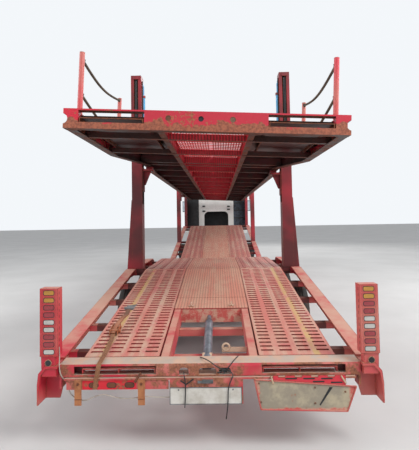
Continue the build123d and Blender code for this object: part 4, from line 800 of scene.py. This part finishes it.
class PaintFrame(bpy.types.Operator):
    """Gives every node of the frame its worn finish"""

    bl_idname = "transporter.paint_frame"
    bl_label = "Paint the frame"

    def execute(self, context):
        make_finishes()
        for name, piece in frame["nodes"].items():
            finish = finish_for_node(name)
            if finish is None:
                continue
            for slot in piece.material_slots:
                slot.material = finish_of(finish)
        return {"FINISHED"}


class MakeTyres(bpy.types.Operator):
    """Turns the road tyres, with grooves round the tread"""

    bl_idname = "transporter.make_tyres"
    bl_label = "Make the tyres"

    def execute(self, context):
        depth = context.scene.transporter_sizes.groove_depth
        for start, station, size, centres in tyre_table:
            for side in sides:
                node = f"{start}_{side_names[side]}"
                bm = bmesh.new()
                for centre in centres:
                    self.turn_tyre(bm, side * centre, station, size, depth)
                tyre = finish_piece(node + "_tread", bm, body_of(node), ["rubber"])
                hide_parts(node)
        return {"FINISHED"}

    def turn_tyre(self, bm, centre, station, size, depth):
        """Spins half a bead, wall and shoulder, the four grooves and the other half round the axle."""
        radius, half, bead = size
        wall = radius - bead
        crown = radius - 0.0005
        groove = 0.010
        outline = [(-half + 0.030, bead), (-half + 0.010, bead + 0.014), (-half + 0.003, bead + wall * 0.35),
                   (-half + 0.001, bead + wall * 0.5), (-half + 0.005, radius - 0.040),
                   (-half + 0.014, radius - 0.016), (-half + 0.034, radius - 0.003)]
        other_half = [(-x, r) for x, r in reversed(outline)]
        for middle in (-0.055, -0.018, 0.018, 0.055):
            outline += [(middle - groove / 2, crown), (middle - groove / 3, radius - depth),
                        (middle + groove / 3, radius - depth), (middle + groove / 2, crown)]
        outline += other_half
        verts = [bm.verts.new(spot(centre + x, station, radius + r)) for x, r in outline]
        edges = [bm.edges.new(pair) for pair in zip(verts, verts[1:] + verts[:1])]
        bmesh.ops.spin(bm, geom=verts + edges, cent=spot(centre, station, radius), axis=(1, 0, 0),
                       angle=2 * math.pi, steps=90, use_merge=True)


class MakeWheelFittings(bpy.types.Operator):
    """Adds rim edges, wheel nuts and hub caps to every wheel"""

    bl_idname = "transporter.make_wheel_fittings"
    bl_label = "Make the wheel fittings"

    def execute(self, context):
        nut = context.scene.transporter_sizes.nut_size / 2
        for start, station, size, centre, disc, hub, nut_circle in rim_table:
            for side in sides:
                node = f"{start}_{side_names[side]}"
                bm = bmesh.new()
                radius, half, bead = size
                out = Vector((side, 0.0, 0.0))
                middle = spot(side * centre, station, radius)
                for edge in sides:
                    add_ring(bm, middle + out * edge * (half - 0.024), out, bead - 0.004, 0.018, 48)
                self.add_nuts(bm, spot(side * disc, station, radius), out, nut_circle, nut)
                cap = spot(side * hub, station, radius)
                add_rod(bm, cap, cap + out * 0.012, 0.082, 32, 0.078)
                add_rod(bm, cap, cap + out * 0.022, 0.058, 24, 0.050)
                finish_piece(node + "_fittings", bm, body_of(node), ["rim"])
        return {"FINISHED"}

    def add_nuts(self, bm, face, out, nut_circle, nut):
        """A circle of washers, tapered nuts and stud ends on the face of a disc."""
        count = 8
        for k in range(count):
            angle = 2 * math.pi * k / count
            place = face + Vector((0.0, math.cos(angle), math.sin(angle))) * nut_circle
            add_rod(bm, place, place + out * 0.006, nut * 1.25, 16)
            add_rod(bm, place, place + out * 0.026, nut, 6, nut * 0.92)
            add_rod(bm, place, place + out * 0.036, nut * 0.45, 8)


class MakeRearLamps(bpy.types.Operator):
    """Fills the lamp columns with rounded windows of their colours"""

    bl_idname = "transporter.make_rear_lamps"
    bl_label = "Make the rear lamps"

    def execute(self, context):
        self.make_windows()
        self.make_gaskets()
        return {"FINISHED"}

    def make_windows(self):
        """Rounded windows in the recesses, each in a black rim of painted shade from the recess, with red
        edging round it.
        """
        finishes = ["amber", "ruby", "clear"]
        windows = bmesh.new()
        recess_shade = bmesh.new()
        edging = bmesh.new()
        for side in sides:
            x = side * lamp_middle
            for row, finish in enumerate(lamp_windows):
                height = lamp_top - lamp_pitch * (row + 0.5)
                self.add_layer(windows, x, height, (0.0375, 0.0150), 0.0002, 0.010, finishes.index(finish))
                # a black rim round each window: painted shade of its recess
                self.add_layer(recess_shade, x, height, (0.0425, 0.0190), 0.0006, 0.012, 0)
                add_box(edging, spot(x - 0.0500, 0.0010, height - 0.0210),
                        spot(x + 0.0500, 0.0012, height + 0.0210))
        pieces = finish_piece("lamp_windows", windows, "trailer", finishes)
        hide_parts("lamp_lenses")
        finish_piece("lamp_recess_shade", recess_shade, "trailer", ["plastic"])
        finish_piece("lamp_edging", edging, "trailer", ["lamp_red"])

    def add_layer(self, bm, x, height, half, rear, radius, index):
        """One rounded plate of a window, from its rear face to the bottom of the recess."""
        low = spot(x - half[0], rear, height - half[1])
        high = spot(x + half[0], 0.011, height + half[1])
        add_rounded_box(bm, low, high, radius, 1, 4, index)

    def make_gaskets(self):
        """Black discs in the necks as painted shade of their holes, with a pale rim, and thin black boxes
        along each column's inner side as painted shade of its row of slots.
        """
        holes = bmesh.new()
        rims = bmesh.new()
        for side in sides:
            x = side * (lamp_middle + 0.006)
            hole = 0.662
            # a black disc in each neck: painted shade of the hole
            add_rod(holes, spot(x, 0.012, hole), spot(x, 0.0008, hole), 0.021, 24)
            add_ring(rims, spot(x, 0.004, hole), Vector((0.0, 1.0, 0.0)), 0.023, 0.006, 24)
            near, far = sorted((side * lamp_inner, side * (lamp_inner - 0.001)))
            for row in range(11):
                height = lamp_top - 0.030 - 0.0435 * row
                # a thin black box for each slot: painted shade
                add_box(holes, spot(near, 0.026, height - 0.012), spot(far, 0.031, height + 0.010))
        finish_piece("lamp_hole_shade", holes, "trailer", ["plastic"])
        finish_piece("lamp_rims", rims, "trailer", ["cream"])


class MakeGrating(bpy.types.Operator):
    """Lays the toothed grating down the middle of the upper deck"""

    bl_idname = "transporter.make_grating"
    bl_label = "Make the grating"

    def execute(self, context):
        bm = bmesh.new()
        first = upper_beam_front + 0.012
        last = upper_front - 0.02
        rod_pitch = 0.105
        strips = 30
        strip_width = 0.010
        for k in range(int((last - first) / rod_pitch)):
            station = first + rod_pitch * k
            self.add_bar(bm, -mesh_half, mesh_half, station, station + 0.012, upper_top - 0.008)
        for k in range(strips):
            x = -mesh_half + (2 * mesh_half - strip_width) * k / (strips - 1)
            # the two halves of the grating meet at the middle, where no strip lies
            if abs(x) > 0.012:
                self.add_bar(bm, x, x + strip_width, first, last, upper_top - 0.016)
        grating = finish_piece("upper_grating", bm, "upper_deck", ["mesh_red"])
        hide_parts("upper_mesh")
        return {"FINISHED"}

    def add_bar(self, bm, left, right, first, last, low):
        """A straight bar of the grating, laid level and then rolled with the deck."""
        verts = add_box(bm, spot(left, first, low), spot(right, last, upper_top + 0.004))
        bmesh.ops.transform(bm, matrix=deck_roll, verts=verts)


class HangRopes(bpy.types.Operator):
    """Ties the sagging side ropes between the stanchions"""

    bl_idname = "transporter.hang_ropes"
    bl_label = "Hang the ropes"

    def execute(self, context):
        thickness = context.scene.transporter_sizes.rope_thickness
        upright = (rolled(0, 0, 1) - rolled(0, 0, 0)).normalized()
        knots = bmesh.new()
        for name, side, route in rope_table:
            x = side * stanchion_x
            points = [rolled(x, station, track_top + height) for station, height in route]
            lay_cord(name, points, thickness, "rope", "upper_deck")
            for end, height in (route[0], route[-1]):
                tie = rolled(x, end, track_top + height)
                place = Matrix.Translation(tie) @ Matrix.Diagonal((0.019, 0.021, 0.024, 1.0))
                bmesh.ops.create_icosphere(knots, subdivisions=2, radius=1.0, matrix=place)
                add_ring(knots, tie + upright * 0.012, upright, 0.014, 0.014, 16)
        finish_piece("rope_knots", knots, "upper_deck", ["rope"], math.radians(60))
        return {"FINISHED"}


class DressRearBeam(bpy.types.Operator):
    """Adds plugs, guard, plate frame, plate lamp, lugs, wires and the flap's rim to the rear beam"""

    bl_idname = "transporter.dress_rear_beam"
    bl_label = "Dress the rear beam"

    def execute(self, context):
        self.make_bar_plugs()
        self.make_guard()
        self.make_plate_frame()
        self.make_flap_rim()
        self.make_bay_lugs()
        self.make_cable_bundle()
        for name, finish, far_end, route in wire_table:
            points = [spot(*point) for point in route]
            lay_cord(name, points, wire_thickness, finish, "trailer")
        return {"FINISHED"}

    def make_bar_plugs(self):
        """Oval rusty plugs in the lower bar, taped hangers and the small rod beside them."""
        bm = bmesh.new()
        for x in (-0.856, -0.723, -0.589):
            add_rounded_box(bm, spot(x - 0.032, 0.021, 0.474), spot(x + 0.032, 0.026, 0.506), 0.0155, 1, 5, 0)
            add_rounded_box(bm, spot(x - 0.037, 0.0225, 0.470), spot(x + 0.037, 0.0258, 0.510), 0.0195, 1, 5,
                            1)
        for x in (-0.973, -0.501):
            add_box(bm, spot(x - 0.0265, 0.0155, 0.386), spot(x + 0.0265, 0.0285, 0.392))
            add_rod(bm, spot(x, 0.018, 0.500), spot(x, 0.010, 0.500), 0.011, 6)
        add_rod(bm, spot(-0.505, 0.030, 0.578), spot(-0.548, 0.012, 0.512), 0.009, 10)
        finish_piece("bar_plugs", bm, "trailer", ["rusty", "plastic"], bevel=0.001)

    def make_guard(self):
        """Toothed guard below the right ramp's slot, with its rods, and plates in the ends of both slots."""
        bm = bmesh.new()
        top = 0.552
        notch = 0.538
        outline = [(0.470, 0.519), (0.470, top)]
        for k in range(4):
            x = 0.510 + 0.120 * k
            outline += [(x, top), (x, notch), (x + 0.050, notch), (x + 0.050, top)]
        outline += [(1.000, top), (1.000, 0.479)]
        add_plate(bm, [spot(x, 0.017, z) for x, z in outline], 0.004)
        finish_piece("ramp_guard", bm, "trailer", ["guard_red"])
        bm = bmesh.new()
        # black rounded boxes for the guard's slots: painted shade
        for x, z in ((0.560, 0.530), (0.690, 0.529), (0.820, 0.528), (0.760, 0.507), (0.890, 0.500)):
            add_rounded_box(bm, spot(x, 0.0115, z - 0.005), spot(x + 0.085, 0.014, z + 0.005), 0.0045, 1, 3)
        finish_piece("guard_slot_shade", bm, "trailer", ["plastic"])
        bm = bmesh.new()
        for x, lean in ((0.455, 0.016), (0.965, 0.035)):
            add_rod(bm, spot(x, 0.010, 0.550), spot(x + lean, 0.009, 0.494), 0.006, 10)
        finish_piece("guard_rods", bm, "trailer", ["cream"])
        bm = bmesh.new()
        for side in sides:
            left, right = sorted((side * 0.958, side * 1.060))
            add_box(bm, spot(left, 0.104, 0.546), spot(right, 0.112, 0.632))
        finish_piece("slot_ends", bm, "trailer", ["frame_red"])

    def make_cable_bundle(self):
        """Tangle of thin cables in the right hole of the beam and the twisted tie over the plate."""
        bm = bmesh.new()
        strands = ((0.062, 0.566, 0.150, 0.596), (0.070, 0.600, 0.160, 0.572), (0.085, 0.562, 0.118, 0.606),
                   (0.110, 0.560, 0.140, 0.604), (0.095, 0.598, 0.166, 0.590), (0.060, 0.584, 0.135, 0.568))
        for k, (x0, z0, x1, z1) in enumerate(strands):
            rear = 0.040 + 0.006 * (k % 3)
            add_rod(bm, spot(x0, rear, z0), spot(x1, rear + 0.012, z1), 0.0055, 8)
        for x0, z0, x1, z1 in ((-0.210, 0.523, -0.169, 0.495), (-0.169, 0.495, -0.114, 0.532)):
            add_rod(bm, spot(x0, 0.012, z0), spot(x1, 0.012, z1), 0.005, 8)
        finish_piece("cable_bundle", bm, "trailer", ["plastic"])

    def make_plate_frame(self):
        """Frame and rivets of the blank plate, and the ribbed plate lamp above it."""
        low, high = corners_of("number_plate")
        bm = bmesh.new()
        rim = 0.006
        rear = low.y - 0.002
        for x0, x1, z0, z1 in ((low.x - rim, high.x + rim, high.z, high.z + rim),
                               (low.x - rim, high.x + rim, low.z - rim, low.z),
                               (low.x - rim, low.x, low.z - rim, high.z + rim),
                               (high.x, high.x + rim, low.z - rim, high.z + rim)):
            add_box(bm, Vector((x0, rear, z0)), Vector((x1, high.y, z1)))
        for x in (low.x + 0.06, high.x - 0.06):
            rivet = Vector((x, rear, high.z - 0.012))
            add_rod(bm, rivet + Vector((0.0, 0.003, 0.0)), rivet - Vector((0.0, 0.001, 0.0)), 0.006, 12)
        add_rounded_box(bm, spot(-0.050, 0.004, 0.500), spot(0.031, 0.020, 0.530), 0.007, 0, 4)
        add_box(bm, spot(-0.084, 0.008, 0.502), spot(-0.050, 0.019, 0.520))
        for k in range(6):
            x = -0.042 + 0.012 * k
            add_box(bm, spot(x, 0.0025, 0.502), spot(x + 0.005, 0.006, 0.528))
        finish_piece("plate_frame", bm, "trailer", ["grey_plastic"], bevel=0.0015)

    def make_flap_rim(self):
        """Turned edges, bolts and the bent corner of the tail flap, drawn as a black sliver of painted shade.
        """
        bm = bmesh.new()
        corners = [(0.334, 0.524), (1.076, 0.468), (1.008, 0.291), (0.379, 0.308)]
        for (x0, z0), (x1, z1) in zip(corners, corners[1:] + corners[:1]):
            add_rod(bm, spot(x0, 0.017, z0), spot(x1, 0.017, z1), 0.006, 8)
        finish_piece("flap_rim", bm, "trailer", ["lamp_red"])
        bm = bmesh.new()
        for x, z in ((0.366, 0.495), (0.380, 0.360), (0.775, 0.462), (0.775, 0.350), (0.995, 0.430)):
            add_rod(bm, spot(x, 0.020, z), spot(x, 0.012, z), 0.007, 6, 0.006)
        finish_piece("flap_bolts", bm, "trailer", ["plug"])
        bm = bmesh.new()
        # a black sliver along the bend: painted shade
        fold = [(0.812, 0.332), (0.905, 0.462), (0.882, 0.464), (0.806, 0.340)]
        add_plate(bm, [spot(x, 0.0185, z) for x, z in fold], 0.001)
        finish_piece("flap_fold", bm, "trailer", ["plastic"])

    def make_bay_lugs(self):
        """Ring lugs on the centre plate's edge and the mounting lug beside the long cylinder."""
        bm = bmesh.new()
        station = 1.31
        height = deck_height(station)
        for x in (-0.21, 0.21):
            add_ring(bm, spot(x, station, height + 0.014), Vector((1.0, 0.0, 0.0)), 0.024, 0.012, 16)
            add_box(bm, spot(x - 0.030, station - 0.030, height),
                    spot(x + 0.030, station + 0.030, height + 0.005))
        add_box(bm, spot(0.10, 0.420, 0.600), spot(0.31, 0.432, 0.640))
        add_ring(bm, spot(0.135, 0.426, 0.640), Vector((0.0, 1.0, 0.0)), 0.028, 0.020, 20)
        add_rod(bm, spot(-0.06, 0.33, 0.574), spot(0.02, 0.33, 0.574), 0.050, 20)
        finish_piece("bay_lugs", bm, "trailer", ["cream"], bevel=0.002)
        self.make_bay_wall()

    def make_bay_wall(self):
        """Upright plate under the centre plate's rear edge, and the rivets of the skirts."""
        station = 1.236
        half = 0.378
        top = deck_height(station) - 0.004
        bm = bmesh.new()
        add_box(bm, spot(-half, station, top - 0.140), spot(half, station + 0.006, top))
        finish_piece("bay_wall", bm, "trailer", ["flap"])
        first = 0.35
        pitch = 0.115
        bm = bmesh.new()
        for side in sides:
            for k in range(20):
                station = first + pitch * k
                place = spot(side * 0.9655, station, deck_height(station) - 0.022)
                add_rod(bm, place, place + Vector((side * 0.004, 0.0, 0.0)), 0.007, 8)
        finish_piece("skirt_rivets", bm, "trailer", ["cream"])


class LayStrap(bpy.types.Operator):
    """Lays the lashing strap and its ratchet on the left track"""

    bl_idname = "transporter.lay_strap"
    bl_label = "Lay the strap"

    def execute(self, context):
        bm = bmesh.new()
        across = Vector((0.017, 0.004, 0.0))
        route = [(-0.846, 0.021, 0.462), (-0.838, 0.022, 0.520), (-0.822, 0.012, 0.600),
                 (-0.816, 0.024, 0.644), (-0.812, 0.060, 0.654), (-0.815, 0.200, 0.670),
                 (-0.826, 0.380, 0.694), (-0.842, 0.560, 0.722), (-0.846, 0.640, 0.735)]
        add_ribbon(bm, [spot(*point) for point in route], across, 0.003)
        finish_piece("strap", bm, "trailer", ["strap"], math.radians(60))
        bm = bmesh.new()
        handle = [(-0.850, 0.560, 0.728), (-0.846, 0.680, 0.762), (-0.824, 0.800, 0.796),
                  (-0.802, 0.900, 0.812), (-0.800, 1.010, 0.840)]
        add_ribbon(bm, [spot(*point) for point in handle], Vector((0.022, -0.004, 0.0)), 0.006)
        cheek = ((0.54, 0.712), (0.70, 0.733), (0.69, 0.782), (0.56, 0.752))
        for x in (-0.872, -0.806):
            add_plate(bm, [spot(x, station, height) for station, height in cheek], 0.004)
        add_rod(bm, spot(-0.885, 0.600, 0.738), spot(-0.790, 0.600, 0.738), 0.016, 16)
        add_rod(bm, spot(-0.880, 0.665, 0.752), spot(-0.796, 0.665, 0.752), 0.010, 12)
        finish_piece("ratchet", bm, "trailer", ["rusty"], bevel=0.001)
        bm = bmesh.new()
        add_rod(bm, spot(-0.845, 1.015, 0.850), spot(-0.750, 1.005, 0.852), 0.014, 12)
        add_plate(bm, [spot(-0.835, 1.00, 0.836), spot(-0.765, 0.99, 0.838), spot(-0.735, 1.10, 0.872),
                       spot(-0.830, 1.06, 0.866)], 0.004)
        finish_piece("ratchet_grip", bm, "trailer", ["grey_plastic"], bevel=0.001)
        return {"FINISHED"}


class DressPosts(bpy.types.Operator):
    """Adds hoses and collars to the posts, and gussets and plugs to the upper deck"""

    bl_idname = "transporter.dress_posts"
    bl_label = "Dress the posts"

    def execute(self, context):
        thickness = context.scene.transporter_sizes.hose_thickness
        hoses = bmesh.new()
        collars = bmesh.new()
        for side in sides:
            # columns: X, station, foot of the hose
            for x, station, foot in ((1.082, 2.975, 2.92), (1.102, 2.975, 2.92), (1.006, 3.02, 1.95)):
                add_rod(hoses, spot(side * x, station, foot), spot(side * x, station, 3.78), thickness / 2, 8)
            for height in (2.93, 3.57):
                foot = spot(side * 1.019, 3.1723, height)
                add_rod(collars, foot, foot + Vector((0.0, 0.0, 0.035)), 0.033, 16)
            # columns: station, X, top of the post
            for station, x, top in ((2.95, 1.09, 3.85), (10.265, 1.179, 3.15), (13.2, 1.18, 2.90)):
                add_box(collars, spot(side * x - 0.040, station - 0.004, top - 0.06),
                        spot(side * x + 0.040, station + 0.012, top - 0.02))
        finish_piece("post_hoses", hoses, "trailer", ["plastic"])
        finish_piece("post_collars", collars, "trailer", ["post_red"], bevel=0.002)
        self.make_gussets()
        self.make_plugs()
        return {"FINISHED"}

    def make_gussets(self):
        """Triangular gussets where the deck's cross members meet its side beams."""
        wide = 1.235
        narrow = 1.03
        members = [(0.93, wide), (1.83, wide)]
        # the middle carriages take the place of the gusset at 10.37
        members += [(3.79 + 0.94 * k, narrow) for k in range(10) if k != 7]
        top = upper_top - 0.002
        bm = bmesh.new()
        for side in sides:
            for station, half in members:
                x = side * half
                points = [rolled(x, station, top), rolled(x - side * 0.16, station, top),
                          rolled(x, station, upper_bottom + 0.012)]
                add_plate(bm, points if side > 0 else points[::-1], 0.008)
        finish_piece("deck_gussets", bm, "upper_deck", ["upper_red"])

    def make_plugs(self):
        """Crossed plugs in the two outer holes of the upper beam, and a dark disc in the hole between them as
        painted shade.
        """
        face = 0.4695
        height = 2.574
        radius = 0.0235
        bm = bmesh.new()
        for x in (-0.329, 0.232):
            rear = rolled(x, face, height)
            add_rod(bm, rear + Vector((0, 0.013, 0)), rear + Vector((0, 0.005, 0)), radius, 24)
            for a, b in ((0.017, 0.003), (0.003, 0.017)):
                add_box(bm, rear + Vector((-a, 0.003, -b)), rear + Vector((a, 0.006, b)))
            add_ring(bm, rear + Vector((0, 0.002, 0)), Vector((0.0, 1.0, 0.0)), 0.024, 0.005, 24)
        finish_piece("beam_plugs", bm, "upper_deck", ["plug"], bevel=0.001)
        bm = bmesh.new()
        # a black disc set into the middle hole: painted shade
        hole = rolled(-0.045, face, height)
        add_rod(bm, hole + Vector((0, 0.0135, 0)), hole + Vector((0, 0.010, 0)), radius, 24)
        finish_piece("beam_hole_shade", bm, "upper_deck", ["plastic"])


class DressCab(bpy.types.Operator):
    """Adds seams, brackets, arch lining, wipers, roof markers and mirror glass to the cab"""

    bl_idname = "transporter.dress_cab"
    bl_label = "Dress the cab"

    def execute(self, context):
        self.make_rear_wall()
        self.make_arch_lining()
        self.make_front()
        self.make_mirror_glass()
        return {"FINISHED"}

    def make_rear_wall(self):
        """Pressed seams in white, black brackets and the corner panels on the cab's rear wall; the right
        panel is painted shade of the air deflector's inner face.
        """
        rear = self.wall_station()
        bm = bmesh.new()
        for x in (-0.86, -0.64, -0.32, 0.0, 0.32, 0.64, 0.86):
            # the wall between the outer seams stands a little farther forward
            wall = rear + 0.006 if abs(x) < 0.60 else rear
            add_box(bm, spot(x - 0.011, wall - 0.006, 2.10), spot(x + 0.011, wall + 0.003, 2.96))
        finish_piece("cab_seams", bm, "cab", ["white"], bevel=0.003)
        bm = bmesh.new()
        for x, z in ((-0.50, 2.26), (0.50, 2.24), (0.50, 2.12), (-0.50, 2.06)):
            add_rounded_box(bm, spot(x - 0.055, rear - 0.045, z - 0.028),
                            spot(x + 0.055, rear + 0.006, z + 0.028), 0.010, 1, 3)
        add_box(bm, spot(-1.170, rear - 0.012, 1.42), spot(-0.700, rear + 0.002, 2.94))
        for k in range(6):
            height = 1.70 + 0.21 * k
            x = 1.150 - max(0.0, (height - 2.0) * 0.0435)
            add_box(bm, spot(x, rear - 0.34, height), spot(x + 0.022, rear - 0.05, height + 0.035))
        for height in (1.75, 2.05, 2.35, 2.65):
            add_box(bm, spot(0.72, rear - 0.020, height), spot(1.15, rear - 0.010, height + 0.045))
        finish_piece("cab_brackets", bm, "cab", ["plastic"], bevel=0.003)
        bm = bmesh.new()
        # a blue-grey panel for the right air deflector's inner face: painted shade
        add_box(bm, spot(0.700, rear - 0.012, 1.42), spot(1.170, rear + 0.002, 2.94))
        finish_piece("cab_corner_shade_right", bm, "cab", ["shaded_deflector"], bevel=0.003)

    def wall_station(self):
        """Station of the cab's rear wall."""
        return corners_of("cab_shell")[0].y + rear_station

    def make_arch_lining(self):
        """Black lining of the engine arch, closed at its front end and open below."""
        rear = self.wall_station()
        half = 0.4835
        top = 2.0385
        foot = 1.36
        corner = 0.17
        bends = 6
        outline = [(-half, foot)]
        for k in range(bends + 1):
            angle = math.pi - math.pi / 2 * k / bends
            outline.append((corner - half + corner * math.cos(angle),
                            top - corner + corner * math.sin(angle)))
        outline += [(-x, z) for x, z in reversed(outline)]
        bm = bmesh.new()
        front = bm.faces.new([bm.verts.new(spot(x, rear + 0.66, z)) for x, z in outline])
        made = bmesh.ops.extrude_face_region(bm, geom=[front], use_keep_orig=True)
        bmesh.ops.translate(bm, verts=made_items(made, bmesh.types.BMVert), vec=(0.0, -0.664, 0.0))
        gone = made_items(made, bmesh.types.BMFace)
        gone += [face for face in bm.faces if max(vert.co.z for vert in face.verts) < foot + 0.001]
        bmesh.ops.delete(bm, geom=gone, context="FACES")
        bmesh.ops.recalc_face_normals(bm, faces=bm.faces)
        bmesh.ops.solidify(bm, geom=bm.faces[:], thickness=0.004)
        finish_piece("arch_lining", bm, "cab", ["plastic"])

    def make_front(self):
        """Wipers on the windscreen and marker lamps on the roof."""
        low, high = corners_of("windscreen")
        bm = bmesh.new()
        lean = 0.330 / 1.08
        for x in (-0.62, 0.06):
            foot = Vector((x, high.y + 0.035, low.z - 0.02))
            head = Vector((x + 0.52, high.y + 0.030 - 0.27 * lean, low.z + 0.25))
            add_rod(bm, foot, head, 0.008, 8)
            blade = Vector((0.30, -0.006, 0.10))
            add_rod(bm, head - blade, head + blade, 0.007, 6)
            add_rod(bm, foot - Vector((0, 0.05, 0)), foot, 0.018, 12)
        finish_piece("wipers", bm, "cab", ["plastic"])
        bm = bmesh.new()
        for x in (-0.95, -0.32, 0.32, 0.95):
            add_rounded_box(bm, Vector((x - 0.05, high.y - 0.42, 3.165)),
                            Vector((x + 0.05, high.y - 0.34, 3.195)), 0.012, 2, 3)
        finish_piece("roof_markers", bm, "cab", ["amber"], bevel=0.004)

    def make_mirror_glass(self):
        """Glass on the rear face of each mirror."""
        low, high = corners_of("mirrors")
        bm = bmesh.new()
        for side in sides:
            x = side * (high.x - 0.110)
            add_rounded_box(bm, Vector((x - 0.092, low.y - 0.003, low.z + 0.02)),
                            Vector((x + 0.092, low.y + 0.004, high.z - 0.02)), 0.03, 1, 4)
        finish_piece("mirror_glass", bm, "cab", ["mirror"])


class MakeStage(bpy.types.Operator):
    """Lays the floor, hangs the lamps and sets the camera"""

    bl_idname = "transporter.make_stage"
    bl_label = "Make the stage"

    def execute(self, context):
        self.lay_floor()
        self.hang_lamps()
        self.set_camera()
        context.scene.view_settings.view_transform = "Standard"
        return {"FINISHED"}

    def lay_floor(self):
        bm = bmesh.new()
        bmesh.ops.create_grid(bm, x_segments=1, y_segments=1, size=90.0)
        mesh = bpy.data.meshes.new("floor")
        bm.to_mesh(mesh)
        bm.free()
        look = Finish("floor")
        grain = look.noise(0.6, 4.0)
        colour = look.mix(look.smooth(grain, 0.3, 0.7), (0.59, 0.58, 0.565), (0.65, 0.64, 0.625))
        mesh.materials.append(look.close(colour, 0.9))
        floor = bpy.data.objects.new("floor", mesh)
        bpy.context.scene.collection.objects.link(floor)

    def hang_lamps(self):
        world = bpy.data.worlds.new("studio")
        bpy.context.scene.world = world
        world.use_nodes = True
        tree = world.node_tree
        tree.nodes.clear()
        path = tree.nodes.new("ShaderNodeLightPath")
        camera, glossy, through = (Level(tree, path.outputs[f"Is {kind} Ray"])
                                   for kind in ("Camera", "Glossy", "Transmission"))
        seen = camera + glossy + through
        blend = tree.nodes.new("ShaderNodeMixShader")
        output = tree.nodes.new("ShaderNodeOutputWorld")
        tree.links.new(seen.math("MINIMUM", seen, 1.0).socket, blend.inputs[0])
        # the soft light that falls on things, and the paler sky that is seen
        for place, colour, strength in ((1, (0.92, 0.95, 1.0, 1.0), 0.55), (2, (0.90, 0.93, 0.96, 1.0), 1.0)):
            sky = tree.nodes.new("ShaderNodeBackground")
            sky.inputs["Color"].default_value = colour
            sky.inputs["Strength"].default_value = strength
            tree.links.new(sky.outputs[0], blend.inputs[place])
        tree.links.new(blend.outputs[0], output.inputs["Surface"])
        # columns: name, place, target, size across, power
        lamps = (
            ("sun_side", spot(9.0, -6.0, 11.0), spot(0.0, 2.0, 1.0), 6.0, 1450.0),
            ("fill_side", spot(-10.0, -4.0, 7.0), spot(0.0, 3.0, 1.5), 8.0, 450.0),
            ("front_fill", spot(4.0, 22.0, 9.0), spot(0.0, 12.0, 1.5), 8.0, 520.0),
            ("deck_fill_right", spot(10.0, 3.0, 4.6), spot(0.0, 13.9, 2.2), 5.0, 480.0),
            ("deck_fill_left", spot(-10.0, 3.0, 4.6), spot(0.0, 13.9, 2.2), 5.0, 380.0),
        )
        for name, place, target, size, power in lamps:
            data = bpy.data.lights.new(name, "AREA")
            data.shape = "DISK"
            data.size = size
            data.energy = power
            lamp = bpy.data.objects.new(name, data)
            lamp.location = place
            lamp.rotation_euler = (target - place).to_track_quat("-Z", "Y").to_euler()
            bpy.context.scene.collection.objects.link(lamp)

    def set_camera(self):
        """The photograph's view: 3.13 m behind the lamps, looking slightly up and to the left."""
        yaw = math.radians(1.2)
        pitch = math.radians(2.6)
        tilt = math.atan(0.0175)
        ahead = Vector((-math.sin(yaw) * math.cos(pitch), math.cos(yaw) * math.cos(pitch), math.sin(pitch)))
        level_right = Vector((math.cos(yaw), math.sin(yaw), 0.0))
        level_up = level_right.cross(ahead)
        right = math.cos(tilt) * level_right - math.sin(tilt) * level_up
        up = math.cos(tilt) * level_up + math.sin(tilt) * level_right
        data = bpy.data.cameras.new("camera")
        # the picture is 450 pixels high; focal length and shift were found in pixels
        height = 450.0
        data.sensor_width = 36.0
        data.lens = data.sensor_width * 420.0 / height
        data.shift_y = -24.07 / height
        data.clip_end = 300.0
        camera = bpy.data.objects.new("camera", data)
        turn = Matrix((right, up, -ahead)).transposed()
        camera.matrix_world = Matrix.Translation(spot(0.093, -3.13, 1.70)) @ turn.to_4x4()
        bpy.context.scene.collection.objects.link(camera)
        bpy.context.scene.camera = camera


class TransporterPanel(bpy.types.Panel):
    """Lists the colours, the sizes and the buttons of the operators"""

    bl_idname = "TRANSPORTER_PT_looks"
    bl_label = "Transporter"
    bl_space_type = "VIEW_3D"
    bl_region_type = "UI"
    bl_category = "Transporter"

    def draw(self, context):
        layout = self.layout
        for group in (context.scene.transporter_colours, context.scene.transporter_sizes):
            for name in group.__annotations__:
                layout.prop(group, name)
        for operator in operators:
            layout.operator(operator.bl_idname)


operators = (
    PaintFrame,
    MakeTyres,
    MakeWheelFittings,
    MakeRearLamps,
    MakeGrating,
    HangRopes,
    DressRearBeam,
    LayStrap,
    DressPosts,
    DressCab,
    MakeStage,
)

classes = (TransporterColours, TransporterSizes, *operators, TransporterPanel)


def register():
    for item in classes:
        bpy.utils.register_class(item)
    bpy.types.Scene.transporter_colours = bpy.props.PointerProperty(type=TransporterColours)
    bpy.types.Scene.transporter_sizes = bpy.props.PointerProperty(type=TransporterSizes)


def unregister():
    del bpy.types.Scene.transporter_colours
    del bpy.types.Scene.transporter_sizes
    for item in reversed(classes):
        bpy.utils.unregister_class(item)


def main():
    register()
    bpy.ops.transporter.paint_frame()
    bpy.ops.transporter.make_tyres()
    bpy.ops.transporter.make_wheel_fittings()
    bpy.ops.transporter.make_rear_lamps()
    bpy.ops.transporter.make_grating()
    bpy.ops.transporter.hang_ropes()
    bpy.ops.transporter.dress_rear_beam()
    bpy.ops.transporter.lay_strap()
    bpy.ops.transporter.dress_posts()
    bpy.ops.transporter.dress_cab()
    bpy.ops.transporter.make_stage()


if __name__ == "__main__":
    main()
